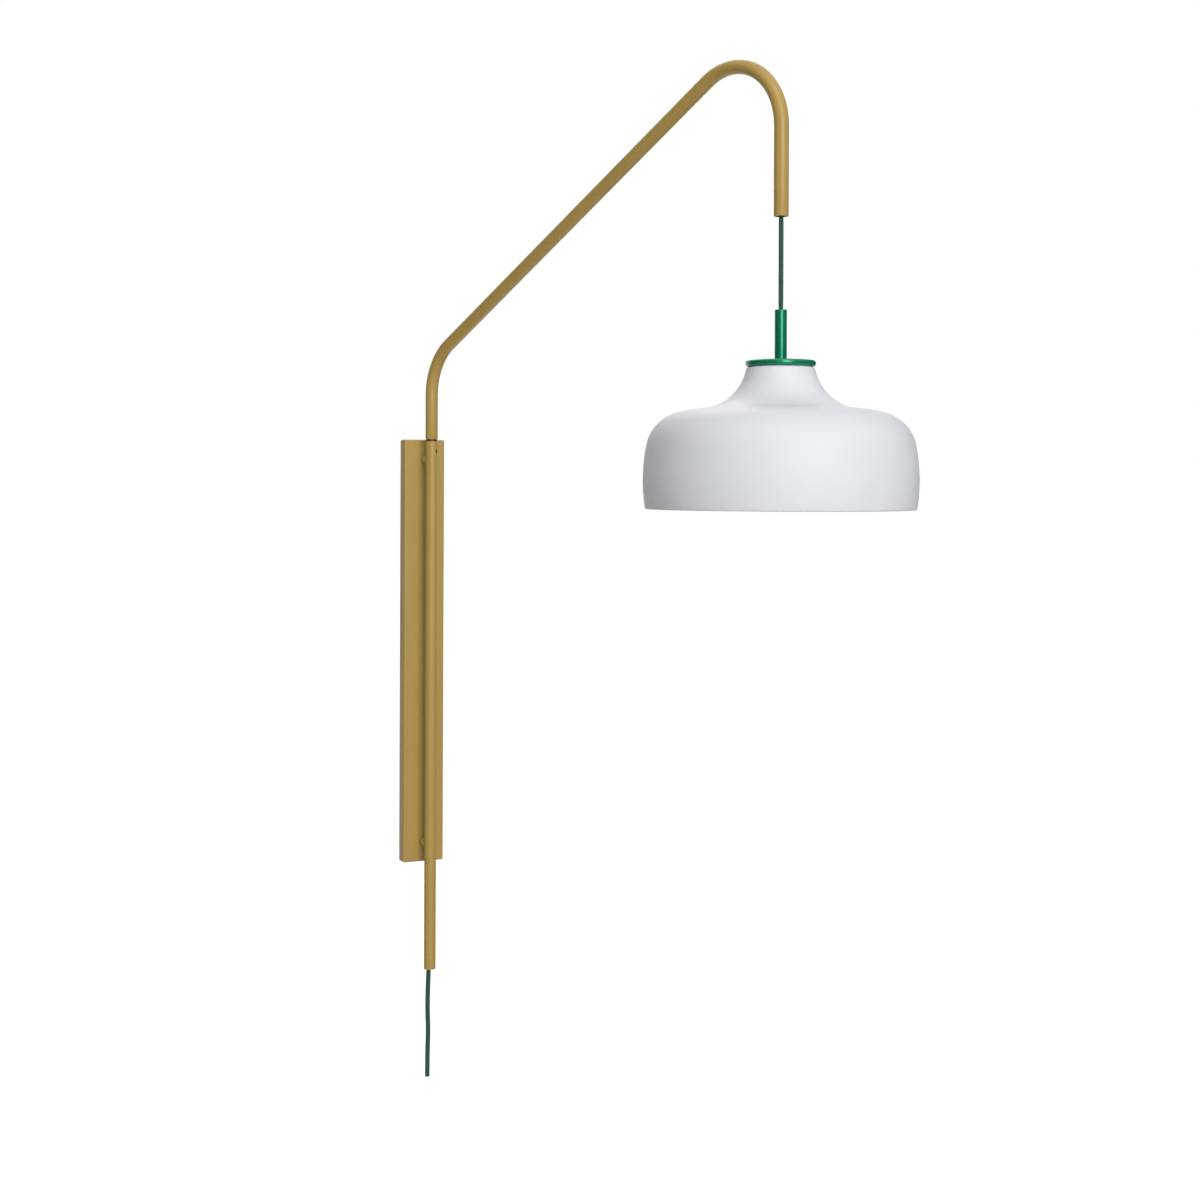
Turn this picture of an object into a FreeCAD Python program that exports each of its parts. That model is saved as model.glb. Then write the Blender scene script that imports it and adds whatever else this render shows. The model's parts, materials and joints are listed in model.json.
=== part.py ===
import FreeCAD, Part
import math
import os

# Swivelling gooseneck wall lamp with a hanging opal glass shade.
# Millimetres. +Z is up, the wall is the plane y = 0 and the lamp stands out towards -Y.
# The origin is the middle of the wall rail's back face.

V = FreeCAD.Vector
UP = V(0, 0, 1)
OUT = V(0, -1, 0)

# ---- Clearances -------------------------------------------------------------------------------
press_gap = 0.05        # between a piece and the tube it is pressed into, on the radius
run_gap = 0.05          # running fit on the radius
thread_gap = 0.05       # between a thread and its hole, both drawn smooth
seat_gap = 0.1          # between a curved seat and the tube on it
joint_gap = 0.3         # between faces that pass each other at a joint
hole_gap = 0.25         # between a screw's shank and its clearance hole

# ---- Wall plate, rail and their screws --------------------------------------------------------
plate_height = 600.0
plate_width = 60.0
plate_depth = 18.0
plate_wall = 2.0
plate_corner = 2.5
rail_width = 34.0
rail_thickness = 2.0
rail_tab_width = 24.0
rail_tab_depth = 13.0
rail_tab_thickness = 3.0
fixing_spacing = 400.0
fixing_hole_d = 5.5
cover_screw_d = 4.0
cover_screw_head_d = 7.5
cover_screw_length = 8.0
cover_socket_af = 2.4
cover_socket_depth = 1.5

# ---- Pole and standoffs -----------------------------------------------------------------------
pole_od = 16.5
pole_wall = 1.5
pole_gap = 28.0         # front of the plate to the pole's axis
pole_drop = 146.0       # pole below the plate
standoff_d = 13.0
standoff_inset = 28.5   # standoff's axis from the plate's end
standoff_screw_d = 6.0
standoff_screw_depth = 11.0
standoff_head_d = 10.0
standoff_head_height = 5.0
standoff_socket_af = 4.0
standoff_socket_depth = 2.5
standoff_washer_d = 13.0
standoff_washer_t = 1.2

# ---- Swivel -----------------------------------------------------------------------------------
ring_od = 15.4          # the dark ring between pole and arm
ring_height = 3.0
spigot_d = 11.0
spigot_bore = 6.4
spigot_depth = 125.0    # below the arm's end
spigot_head = 42.0      # inside the arm
upper_bush_length = 40.0
lower_bush_length = 30.0
friction_screw_d = 4.0
friction_screw_drop = 14.0      # below the pole's top
friction_screw_angle = 35.0     # from straight out, towards +X
friction_socket_af = 2.0
friction_socket_depth = 1.2

# ---- Arm --------------------------------------------------------------------------------------
arm_od = 17.2
arm_wall = 1.75
arm_rest_angle = 17.1   # from straight out of the wall, towards +X
arm_foot = 62.5         # straight above the swivel
bend_radius = 80.0
lower_bend = 60.0
upper_bend = 120.0
arm_slope_length = 580.0
arm_end_length = 104.0

# ---- Cables and cords -------------------------------------------------------------------------
lamp_cable_d = 5.0
mains_cable_d = 6.0
core_d = 2.0
cable_past_nipple = 2.0
lead_offset = 1.5       # the mains lead lies against one side of the pole's end
lead_direction = 155.0  # the side it lies on, degrees from +X towards +Y
splice_d = 9.4
splice_length = 34.0
splice_entry = 11.0     # depth of each cable in it
splice_edge = 1.2
splice_top = -10.0
stop_length = 8.0
mains_stop_d = 10.2
lamp_stop_d = 9.6
pole_bush_length = 10.0
pole_bush_bore = 9.3
pole_bush_lip = 0.8
# Hanging end of the mains lead: aside towards lead_direction, across, and below the pole's end.
tail_route = [
    (1.5, 0.0, 0.0),
    (1.5, 0.0, -26.0),
    (3.1, 0.8, -57.0),
    (3.0, 1.7, -88.0),
    (3.9, 1.1, -119.0),
    (4.6, 1.9, -151.0),
]

# ---- Pendant cord and stem --------------------------------------------------------------------
pendant_length = 107.5  # visible cord between arm and stem
swing_pivot_depth = 4.0         # inside the arm's end
tilt_pivot_depth = 3.0          # inside the stem's top
mouth_angle = 32.0              # half angle of the two flared mouths
end_bush_length = 20.0
end_stop_d = 12.0
stem_od = 14.0
stem_wall = 1.9
stem_length = 58.5
grip_length = 22.0
grip_sink = 0.5         # its top below the stem's

# ---- Shade cap and glass ----------------------------------------------------------------------
cap_od = 81.0
cap_height = 7.0
cap_edge = 2.2
cap_recess_d = 73.0
cap_recess_depth = 2.0
cap_hole_gap = 0.1
cap_glass_gap = 0.3
glass_wall = 3.5
glass_hole_d = 30.0
glass_height = 164.5
neck_flat_d = 71.0
neck_lip = 1.0
neck_corner_turn = 78.0
neck_radius = 56.6
neck_turn = 74.0
shoulder_radius = 150.0
shoulder_turn = 11.0
corner_radius = 48.0
corner_turn = 63.5
side_radius = 206.0

# ---- Clamp that holds the glass ---------------------------------------------------------------
nipple_d = 10.0
nipple_bore = 7.2
nipple_in_stem = 15.0
gasket_d = 66.0
clamp_gasket_t = 1.5
clamp_plate_d = 62.0
clamp_plate_t = 2.0
clamp_washer_d = 20.0
clamp_washer_t = 1.0
clamp_nut_af = 14.0
clamp_nut_t = 4.0

# ---- Lampholder and bulb ----------------------------------------------------------------------
holder_gap = 0.6        # below the clamp nut
holder_inlet_d = 16.0
holder_inlet_height = 7.0
holder_cap_d = 39.0
holder_cap_height = 26.0
holder_wall = 2.0
holder_dome = 0.8       # rounding of the cap, as a share of its shoulder
holder_body_d = 40.0
holder_body_height = 33.0
holder_flange_d = 43.0
holder_flange_height = 5.0
insert_height = 6.0
terminal_place = 9.0    # from the axis
terminal_width = 9.0
terminal_depth = 6.0
terminal_height = 6.0
terminal_hole_depth = 4.0
shell_wall = 0.5
shell_height = 23.0
contact_height = 3.0
contact_width = 6.0
contact_t = 0.6
contact_length = 11.0
contact_offset = 8.0    # from the axis to the strip's bend
bulb_thread_d = 26.2
bulb_thread_pitch = 3.6
bulb_thread_depth = 0.7
bulb_thread_turns = 5
bulb_collar = 4.0
bulb_insulator_height = 3.5
bulb_insulator_inset = 2.0
bulb_tip_d = 9.0
bulb_tip_height = 1.6
bulb_neck_d = 26.0
bulb_d = 60.0
bulb_flare_radius = 45.0
bulb_wall = 1.0

# ---- Places worked out from the sizes ---------------------------------------------------------
plate_top = plate_height / 2
pole_y = -(plate_depth + pole_gap)
pole_r = pole_od / 2
pole_bore_r = pole_r - pole_wall
pole_top = plate_top - ring_height
pole_bottom = -plate_top - pole_drop
arm_r = arm_od / 2
arm_bore_r = arm_r - arm_wall
spigot_r = spigot_d / 2
spigot_bottom = plate_top - spigot_depth
lamp_r = lamp_cable_d / 2
mains_r = mains_cable_d / 2
stem_bore_r = stem_od / 2 - stem_wall
socket_r = lamp_r + joint_gap   # round seat of a cord's domed end


def rad(angle):
    return math.radians(angle)


def trace(start, heading, steps):
    """Edges of a flat path in the XZ plane, from start = (x, z).

    A step is (length,) for a line or (radius, turn) for an arc, and a positive turn is to the left.
    """
    edges = []
    point = V(start[0], 0, start[1])
    angle = heading
    for step in steps:
        ahead = V(math.cos(rad(angle)), 0, math.sin(rad(angle)))
        if len(step) == 1:
            end = point + ahead * step[0]
            edges.append(Part.LineSegment(point, end).toShape())
            point = end
            continue
        radius, turn = step
        side = math.copysign(1.0, turn)
        centre = point + V(-ahead.z, 0, ahead.x) * (side * radius)
        ends = []
        for share in (0.5, 1.0):
            a = rad(angle + turn * share)
            ends.append(centre + V(math.sin(a), 0, -math.cos(a)) * (side * radius))
        edges.append(Part.Arc(point, ends[0], ends[1]).toShape())
        point = ends[1]
        angle += turn
    return edges, (point.x, point.z), angle


def lathe(outline):
    """Solid turned about the Z axis from a closed outline of (radius, z) points."""
    points = [V(r, 0, z) for r, z in outline]
    return turn_wire(Part.makePolygon(points + points[:1]))


def turn_wire(wire):
    return Part.Face(wire).revolve(V(0, 0, 0), UP, 360)


def rod(radius, low, high):
    return Part.makeCylinder(radius, high - low, V(0, 0, low))


def ring(outer, inner, low, high):
    return rod(outer, low, high).cut(rod(inner, low - 1, high + 1))


def rod_along(radius, base, direction, length):
    return Part.makeCylinder(radius, length, base, direction)


def hexagon(across_flats, base, direction, length):
    """Hexagonal prism from base along direction."""
    corner = across_flats / 2 / math.cos(rad(30))
    points = [V(corner * math.cos(rad(60 * i)), corner * math.sin(rad(60 * i)), 0) for i in range(7)]
    prism = Part.Face(Part.makePolygon(points)).extrude(V(0, 0, length))
    prism.Placement = FreeCAD.Placement(base, FreeCAD.Rotation(UP, direction))
    return prism


def moved(shape, x, y, z=0.0):
    shape = shape.copy()
    shape.translate(V(x, y, z))
    return shape


def at_pole(shape):
    return moved(shape, 0, pole_y)


def sweep(edges, radius):
    """Round bar along a path of tangent lines and arcs."""
    first = edges[0]
    start = first.valueAt(first.FirstParameter)
    ahead = first.tangentAt(first.FirstParameter)
    section = Part.Wire(Part.makeCircle(radius, start, ahead))
    return Part.Wire(edges).makePipeShell([section], True, False)


def rounded_route(name, points):
    """Straight runs joined by tangent arcs, each as large as its two runs allow."""
    edges = []
    radii = []
    start = points[0]
    for before, corner, after in zip(points, points[1:], points[2:]):
        back = (before - corner)
        forth = (after - corner)
        shorter = min(back.Length, forth.Length)
        turn = math.pi - back.getAngle(forth)
        cut = 0.45 * shorter
        radii.append(cut / math.tan(turn / 2))
        back.normalize()
        forth.normalize()
        arc_start = corner + back * cut
        arc_end = corner + forth * cut
        middle = back + forth
        middle.normalize()
        reach = radii[-1] / math.cos(turn / 2) - radii[-1]
        edges.append(Part.LineSegment(start, arc_start).toShape())
        edges.append(Part.Arc(arc_start, corner + middle * reach, arc_end).toShape())
        start = arc_end
    edges.append(Part.LineSegment(start, points[-1]).toShape())
    print(name, "radii", [round(r) for r in radii])
    return edges


def cable(name, points, diameter):
    edges = rounded_route(name, points)
    shape = sweep(edges, diameter / 2)
    length = sum(edge.Length for edge in edges)
    share = shape.Volume / (length * math.pi * diameter ** 2 / 4)
    print(name, "length", round(length, 1), "volume over section times length", round(share, 4))
    return shape


# ---- Wall plate, rail and screws --------------------------------------------------------------
def wall_plate():
    """Pressed tray, open towards the wall."""
    box = Part.makeBox(plate_width, plate_depth, plate_height, V(-plate_width / 2, -plate_depth, -plate_top))
    front = [e for e in box.Edges if min(v.Y for v in e.Vertexes) < -plate_depth + 0.01]
    upright = [e for e in box.Edges if abs(e.tangentAt(e.FirstParameter).y) > 0.9]
    unique = {e.hashCode(): e for e in front + upright}
    tray = box.makeFillet(plate_corner, list(unique.values()))
    inner_width = plate_width - 2 * plate_wall
    inner_height = plate_height - 2 * plate_wall
    inside = V(-inner_width / 2, -plate_depth + plate_wall, -inner_height / 2)
    tray = tray.cut(Part.makeBox(inner_width, plate_depth, inner_height, inside))
    for side in (1, -1):
        tray = tray.cut(cover_screw(side, hole_gap))
        place = V(0, -plate_depth + plate_wall + 1, side * (plate_top - standoff_inset))
        tray = tray.cut(rod_along(standoff_screw_d / 2 + hole_gap, place, OUT, plate_wall + 2))
    return tray


def wall_rail():
    """Flat strip screwed to the wall, with a tapped tab at each end."""
    height = plate_height - 2 * plate_wall
    strip = Part.makeBox(rail_width, rail_thickness, height, V(-rail_width / 2, -rail_thickness, -height / 2))
    for side in (1, -1):
        low = height / 2 - rail_tab_thickness if side > 0 else -height / 2
        corner = V(-rail_tab_width / 2, -rail_tab_depth, low)
        strip = strip.fuse(Part.makeBox(rail_tab_width, rail_tab_depth, rail_tab_thickness, corner))
        hole = V(0, 1, side * fixing_spacing / 2)
        strip = strip.cut(rod_along(fixing_hole_d / 2, hole, OUT, rail_thickness + 2))
        strip = strip.cut(cover_screw(side, thread_gap))
    return strip.removeSplitter()


def cover_screw(side, gap=0.0):
    """Countersunk screw through the tray's end into the rail's tab; gap makes the hole for it."""
    shank = cover_screw_d / 2 + gap
    head = cover_screw_head_d / 2 + gap
    top = plate_top + gap
    sunk = top - (cover_screw_head_d - cover_screw_d) / 2
    screw = lathe([(0, plate_top - cover_screw_length), (shank, plate_top - cover_screw_length),
                   (shank, sunk), (head, top), (0, top)])
    if gap == 0:
        socket = V(0, 0, plate_top - cover_socket_depth)
        screw = screw.cut(hexagon(cover_socket_af, socket, UP, cover_socket_depth + 1))
    if side < 0:
        screw = screw.mirror(V(0, 0, 0), UP)
    return moved(screw, 0, -rail_tab_depth / 2 - 1)


def cover_screws():
    return Part.makeCompound([cover_screw(1), cover_screw(-1)])


# ---- Pole and standoffs -----------------------------------------------------------------------
def standoff(side):
    """Round spacer from the plate to a curved seat on the pole, tapped from the plate's side."""
    place = V(0, -plate_depth, side * (plate_top - standoff_inset))
    bar = rod_along(standoff_d / 2, place, OUT, pole_gap)
    bar = bar.cut(at_pole(rod(pole_r + seat_gap, -plate_height, plate_height)))
    hole = standoff_screw_d / 2 + thread_gap
    return bar.cut(rod_along(hole, place, OUT, standoff_screw_depth + 1))


def standoff_screw(side):
    z = side * (plate_top - standoff_inset)
    seat = -plate_depth + plate_wall + standoff_washer_t
    head = rod_along(standoff_head_d / 2, V(0, seat + standoff_head_height, z), OUT, standoff_head_height)
    reach = plate_wall + standoff_washer_t + standoff_screw_depth
    shank = rod_along(standoff_screw_d / 2, V(0, seat, z), OUT, reach)
    socket = V(0, seat + standoff_head_height + 1, z)
    socket = hexagon(standoff_socket_af, socket, OUT, standoff_socket_depth + 1)
    return head.fuse(shank).cut(socket).removeSplitter()


def standoff_washer(side):
    z = side * (plate_top - standoff_inset)
    place = V(0, -plate_depth + plate_wall + standoff_washer_t, z)
    disc = rod_along(standoff_washer_d / 2, place, OUT, standoff_washer_t)
    return disc.cut(rod_along(standoff_screw_d / 2 + hole_gap, place + V(0, 1, 0), OUT, standoff_washer_t + 2))


def pole_tube():
    tube = ring(pole_r, pole_bore_r, pole_bottom, pole_top)
    return at_pole(tube.cut(friction_screw_hole()))


# ---- Swivel -----------------------------------------------------------------------------------
def friction_direction():
    angle = rad(friction_screw_angle)
    return V(math.sin(angle), -math.cos(angle), 0)


def friction_screw_hole():
    place = V(0, 0, pole_top - friction_screw_drop)
    return rod_along(friction_screw_d / 2 + thread_gap, place, friction_direction(), pole_od)


def friction_screw():
    """Grub screw through pole and bush; its tip bears on the spigot."""
    direction = friction_direction()
    tip = spigot_r + 3 * run_gap
    start = V(0, 0, pole_top - friction_screw_drop) + direction * tip
    length = pole_r - tip
    screw = rod_along(friction_screw_d / 2, start, direction, length)
    floor = start + direction * (length - friction_socket_depth)
    return at_pole(screw.cut(hexagon(friction_socket_af, floor, direction, length)))


def swivel_bush_upper():
    inner = spigot_r + run_gap
    body = ring(pole_bore_r - press_gap, inner, pole_top - upper_bush_length, pole_top)
    flange = ring(ring_od / 2, inner, pole_top, plate_top)
    return at_pole(body.fuse(flange).removeSplitter().cut(friction_screw_hole()))


def swivel_bush_lower():
    inner = spigot_r + run_gap
    return at_pole(ring(pole_bore_r - press_gap, inner, spigot_bottom, spigot_bottom + lower_bush_length))


def swivel_spigot():
    """Hollow steel pin: its head is fixed in the arm and it turns in the pole's two bushes."""
    pin = rod(spigot_r, spigot_bottom, plate_top)
    head = rod(arm_bore_r - press_gap, plate_top, plate_top + spigot_head)
    return at_pole(pin.fuse(head).cut(rod(spigot_bore / 2, spigot_bottom - 1, plate_top + spigot_head + 1)))


# ---- Cables inside the pole -------------------------------------------------------------------
def lead_place(aside, across, below):
    """Point beside the pole's axis: aside is towards the side that the lead lies on."""
    a = rad(lead_direction)
    x = aside * math.cos(a) - across * math.sin(a)
    y = aside * math.sin(a) + across * math.cos(a)
    return V(x, pole_y + y, pole_bottom + below)


def at_lead(shape):
    place = lead_place(lead_offset, 0, 0)
    return moved(shape, place.x, place.y)


def splice_connector():
    """Sleeve in which the lamp's thinner cable joins the mains lead."""
    bottom = splice_top - splice_length
    body = rod(splice_d / 2, bottom, splice_top)
    body = body.makeFillet(splice_edge, [e for e in body.Edges if e.Length > splice_d])
    body = body.cut(rod(lamp_r + press_gap, splice_top - splice_entry, splice_top + 1))
    return at_lead(body.cut(rod(mains_r + press_gap, bottom - 1, bottom + splice_entry)))


def pole_cable():
    """From the splice up to the spigot's end, where the arm's cable goes on."""
    low = splice_top - splice_entry + joint_gap
    high = spigot_bottom - joint_gap
    side = lead_place(lead_offset, 0, 0)
    points = [V(side.x, side.y, low), V(side.x, side.y, low + (high - low) * 0.35),
              V(0, pole_y, low + (high - low) * 0.65), V(0, pole_y, high)]
    return cable("pole_cable", points, lamp_cable_d)


def mains_lead():
    return at_lead(rod(mains_r, pole_bottom, splice_top - splice_length + splice_entry - joint_gap))


def mains_lead_stop():
    low = pole_bottom + pole_bush_length + joint_gap
    return at_lead(ring(mains_stop_d / 2, mains_r + press_gap, low, low + stop_length))


def pole_end_bush():
    """Liner with a rounded lip that the lead leaves through."""
    liner = ring(pole_bore_r - press_gap, pole_bush_bore / 2, pole_bottom, pole_bottom + pole_bush_length)
    lip = [e for e in liner.Edges
           if abs(e.BoundBox.ZMax - pole_bottom) < 0.01 and abs(e.Length - math.pi * pole_bush_bore) < 0.1]
    return at_pole(liner.makeFillet(pole_bush_lip, lip))


def mains_cord():
    points = [lead_place(aside, across, below) for aside, across, below in tail_route]
    return cable("mains_cord", points, mains_cable_d)


# ---- Arm --------------------------------------------------------------------------------------
def arm_steps():
    return [(arm_foot,), (bend_radius, -lower_bend), (arm_slope_length,),
            (bend_radius, -upper_bend), (arm_end_length,)]


def arm_tip():
    """Horizontal reach and height of the arm's free end."""
    return trace((0, plate_top), 90, arm_steps())[1]


def at_arm(shape):
    """From the XZ plane through the pole to the arm's own plane at rest."""
    shape = shape.copy()
    shape.rotate(V(0, 0, 0), UP, arm_rest_angle - 90)
    return at_pole(shape)


def at_tip(shape):
    """From the Z axis to the vertical through the arm's free end."""
    return at_arm(moved(shape, arm_tip()[0], 0))


def arm_tube():
    path = trace((0, plate_top), 90, arm_steps())[0]
    return at_arm(sweep(path, arm_r).cut(sweep(path, arm_bore_r)))


def arm_cable():
    """From the spigot's lower end through both bends to the joint in the end bush."""
    steps = arm_steps()
    steps[0] = (arm_foot + spigot_depth,)
    steps[-1] = (arm_end_length - swing_pivot_depth - socket_r,)
    return at_arm(sweep(trace((0, spigot_bottom), 90, steps)[0], lamp_r))


def arm_cable_stop():
    low = arm_tip()[1] + end_bush_length
    return at_tip(ring(end_stop_d / 2, lamp_r + press_gap, low, low + stop_length))


def arm_end_bush():
    """Plug in the arm's end with a flared mouth that the cord swings in."""
    end = arm_tip()[1]
    pivot = end + swing_pivot_depth
    body = rod(arm_bore_r - press_gap, end, end + end_bush_length)
    mouth = socket_r + swing_pivot_depth * math.tan(rad(mouth_angle))
    body = body.cut(lathe([(0, pivot), (socket_r, pivot), (mouth, end), (mouth, end - 1), (0, end - 1)]))
    body = body.cut(Part.makeSphere(socket_r, V(0, 0, pivot)))
    return at_tip(body.cut(rod(lamp_r + press_gap, pivot, end + end_bush_length + 1)))


# ---- Pendant cord -----------------------------------------------------------------------------
def stem_top():
    return arm_tip()[1] - pendant_length


def pendant_cord():
    """Straight, pulled tight by the shade, with a domed end in each mouth."""
    high = arm_tip()[1] + swing_pivot_depth
    low = stem_top() - tilt_pivot_depth
    cord = rod(lamp_r, low, high)
    for z in (low, high):
        cord = cord.fuse(Part.makeSphere(lamp_r, V(0, 0, z)))
    return at_tip(cord.removeSplitter())


# ---- Stem -------------------------------------------------------------------------------------
def stem_bottom():
    return stem_top() - stem_length


def stem_tube():
    return at_tip(ring(stem_od / 2, stem_bore_r, stem_bottom(), stem_top()))


def stem_cord_grip():
    """Plug in the stem's top with a flared mouth, in which the stem tilts on the cord."""
    top = stem_top()
    pivot = top - tilt_pivot_depth
    body = rod(stem_bore_r - press_gap, top - grip_length, top - grip_sink)
    mouth = socket_r + tilt_pivot_depth * math.tan(rad(mouth_angle))
    body = body.cut(lathe([(0, pivot), (socket_r, pivot), (mouth, top), (0, top)]))
    body = body.cut(Part.makeSphere(socket_r, V(0, 0, pivot)))
    return at_tip(body.cut(rod(lamp_r + press_gap, top - grip_length - 1, pivot)))


def stem_cable():
    """From the joint in the grip through the nipple into the lampholder."""
    return at_tip(rod(lamp_r, cable_end(), stem_top() - tilt_pivot_depth - socket_r))


def cable_end():
    """The cable is stripped just below the nipple."""
    return holder_top() - holder_inlet_height - cable_past_nipple


def stem_cable_stop():
    high = stem_top() - grip_length
    return at_tip(ring(lamp_stop_d / 2, lamp_r + press_gap, high - stop_length, high))


# ---- Shade cap, glass and clamp ---------------------------------------------------------------
def cap_bottom():
    return stem_bottom() - cap_height


def glass_top():
    return cap_bottom() - cap_glass_gap


def glass_under():
    return glass_top() - glass_wall


def plate_under():
    return glass_under() - clamp_gasket_t - clamp_plate_t


def nut_under():
    return plate_under() - clamp_washer_t - clamp_nut_t


def holder_top():
    return nut_under() - holder_gap


def shade_cap():
    """Turned disc with a rounded edge and a recess that takes the gasket."""
    disc = rod(cap_od / 2, cap_bottom(), stem_bottom())
    disc = disc.makeFillet(cap_edge, [e for e in disc.Edges if e.Length > cap_od])
    disc = disc.cut(rod(cap_recess_d / 2, cap_bottom() - 1, cap_bottom() + cap_recess_depth))
    return at_tip(disc.cut(rod(nipple_d / 2 + cap_hole_gap, cap_bottom() - 1, stem_bottom() + 1)))


def threaded_nipple():
    low = holder_top() - holder_inlet_height
    return at_tip(ring(nipple_d / 2, nipple_bore / 2, low, stem_bottom() + nipple_in_stem))


def cap_gasket():
    return at_tip(ring(gasket_d / 2, glass_hole_d / 2, glass_top(), cap_bottom() + cap_recess_depth))


def clamp_gasket():
    return at_tip(ring(clamp_plate_d / 2, glass_hole_d / 2, glass_under() - clamp_gasket_t, glass_under()))


def clamp_plate():
    hole = nipple_d / 2 + cap_hole_gap
    return at_tip(ring(clamp_plate_d / 2, hole, plate_under(), plate_under() + clamp_plate_t))


def clamp_washer():
    hole = nipple_d / 2 + hole_gap
    return at_tip(ring(clamp_washer_d / 2, hole, plate_under() - clamp_washer_t, plate_under()))


def clamp_nut():
    nut = hexagon(clamp_nut_af, V(0, 0, nut_under()), UP, clamp_nut_t)
    return at_tip(nut.cut(rod(nipple_d / 2 + thread_gap, nut_under() - 1, nut_under() + clamp_nut_t + 1)))


def glass_steps(inset):
    """The shade's outline from the flat top to the widest place, moved inwards by inset."""
    return [
        (glass_wall + neck_lip - inset, -neck_corner_turn),
        (neck_radius + inset, neck_turn),
        (shoulder_radius - inset, -shoulder_turn),
        (corner_radius - inset, -corner_turn),
    ]


def glass_shade():
    """Blown opal glass: flat holed top, flared neck, round shoulder and a slightly drawn-in side."""
    top = glass_top()
    walls = []
    for inset in (0.0, glass_wall):
        steps = glass_steps(inset)
        edges, end, heading = trace((neck_flat_d / 2, top - inset), 0, steps)
        down = side_radius * math.cos(rad(heading))
        left = glass_height - (top - end[1]) - down - glass_wall / 2
        if inset == 0:
            turn = heading + 90 + math.degrees(math.asin(left / side_radius))
        edges += trace(end, heading, [(side_radius - inset, -turn)])[0]
        walls.append(edges)
    outer, inner = walls
    lip_start = outer[-1].valueAt(outer[-1].LastParameter)
    lip_end = inner[-1].valueAt(inner[-1].LastParameter)
    across = lip_end - lip_start
    lip_middle = lip_start + across * 0.5 + V(-across.z, 0, across.x) * 0.5
    hole = glass_hole_d / 2
    start_out = V(neck_flat_d / 2, 0, top)
    start_in = V(neck_flat_d / 2, 0, top - glass_wall)
    rim = Part.Arc(lip_start, lip_middle, lip_end).toShape()
    flat = [Part.LineSegment(start_in, V(hole, 0, top - glass_wall)).toShape(),
            Part.LineSegment(V(hole, 0, top - glass_wall), V(hole, 0, top)).toShape(),
            Part.LineSegment(V(hole, 0, top), start_out).toShape()]
    loop = Part.Wire(Part.__sortEdges__(outer + [rim] + inner + flat))
    return at_tip(turn_wire(loop))


# ---- Lampholder -------------------------------------------------------------------------------
def holder_split():
    """Height of the joint between the lampholder's cap and body."""
    return holder_top() - holder_cap_height


def body_bottom():
    return holder_split() - holder_body_height


def lampholder_cap():
    """Domed cover with a threaded inlet for the nipple."""
    top = holder_top()
    inlet = holder_inlet_d / 2
    outer = holder_cap_d / 2
    outline = [(0, top), (inlet, top), (inlet, top - holder_inlet_height), (outer, top - holder_inlet_height),
               (outer, holder_split()), (0, holder_split())]
    dome = lathe(outline)
    crown = [e for e in dome.Edges
             if abs(e.Length - math.pi * holder_cap_d) < 0.1 and e.BoundBox.ZMax > holder_split() + 1]
    dome = dome.makeFillet((outer - inlet) * holder_dome, crown)
    cavity_top = top - holder_inlet_height - holder_wall
    cavity = rod(outer - holder_wall, holder_split() - 1, cavity_top)
    roof = [e for e in cavity.Edges if e.Length > holder_cap_d and e.BoundBox.ZMin > holder_split()]
    cavity = cavity.makeFillet((outer - inlet) * holder_dome - holder_wall / 2, roof)
    return at_tip(dome.cut(cavity).cut(rod(nipple_d / 2 + thread_gap, cavity_top - 1, top + 1)))


def lampholder_body():
    """Skirt with a flange that the cap screws down to."""
    top = holder_split()
    outer = holder_body_d / 2
    body = lathe([(0, top), (holder_flange_d / 2, top), (holder_flange_d / 2, top - holder_flange_height),
                  (outer, top - holder_flange_height), (outer, body_bottom()), (0, body_bottom())])
    inner = shell_outer_r() + press_gap
    body = body.cut(rod(insert_r(), top - insert_height, top + 1))
    return at_tip(body.cut(rod(inner, body_bottom() - 1, top - insert_height + 0.5)))


def insert_r():
    return holder_cap_d / 2 - holder_wall - 1


def shell_inner_r():
    return bulb_thread_d / 2 + joint_gap


def shell_outer_r():
    return shell_inner_r() + shell_wall


def terminal_floor():
    return holder_split() + terminal_height - terminal_hole_depth


def lampholder_insert():
    """Ceramic block that carries the contacts and the two terminals."""
    top = holder_split()
    block = rod(insert_r() - press_gap, top - insert_height, top)
    for side in (1, -1):
        corner = V(side * terminal_place - terminal_depth / 2, -terminal_width / 2, top)
        block = block.fuse(Part.makeBox(terminal_depth, terminal_width, terminal_height, corner))
    block = block.removeSplitter()
    for side in (1, -1):
        hole = rod(core_d / 2 + press_gap, terminal_floor(), top + terminal_height + 1)
        block = block.cut(moved(hole, side * terminal_place, 0))
    return at_tip(block)


def lampholder_shell():
    """Threaded sleeve, drawn smooth, that the bulb screws into."""
    high = holder_split() - insert_height
    return at_tip(ring(shell_outer_r(), shell_inner_r(), high - shell_height, high))


def centre_contact():
    """Spring strip under the insert that meets the bulb's tip."""
    high = holder_split() - insert_height
    low = high - contact_height
    bend = V(-contact_offset, -contact_width / 2, 0)
    foot = Part.makeBox(contact_length, contact_width, contact_t, bend + V(0, 0, high - contact_t))
    leg = Part.makeBox(contact_t, contact_width, contact_height, bend + V(0, 0, low))
    tongue = Part.makeBox(contact_length, contact_width, contact_t, bend + V(0, 0, low))
    return at_tip(foot.fuse([leg, tongue]).removeSplitter())


def core_wires():
    """Two cores from the cable's end to the terminals."""
    start = cable_end() - joint_gap
    end = terminal_floor() + joint_gap
    fall = start - end
    cores = []
    for side in (1, -1):
        inner = side * (core_d + joint_gap) / 2
        outer = side * terminal_place
        points = [V(inner, 0, start), V(inner, 0, start - fall * 0.2),
                  V(outer, 0, end + fall * 0.55), V(outer, 0, end)]
        cores.append(at_tip(sweep(rounded_route("core_wires", points), core_d / 2)))
    return Part.makeCompound(cores)


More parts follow.
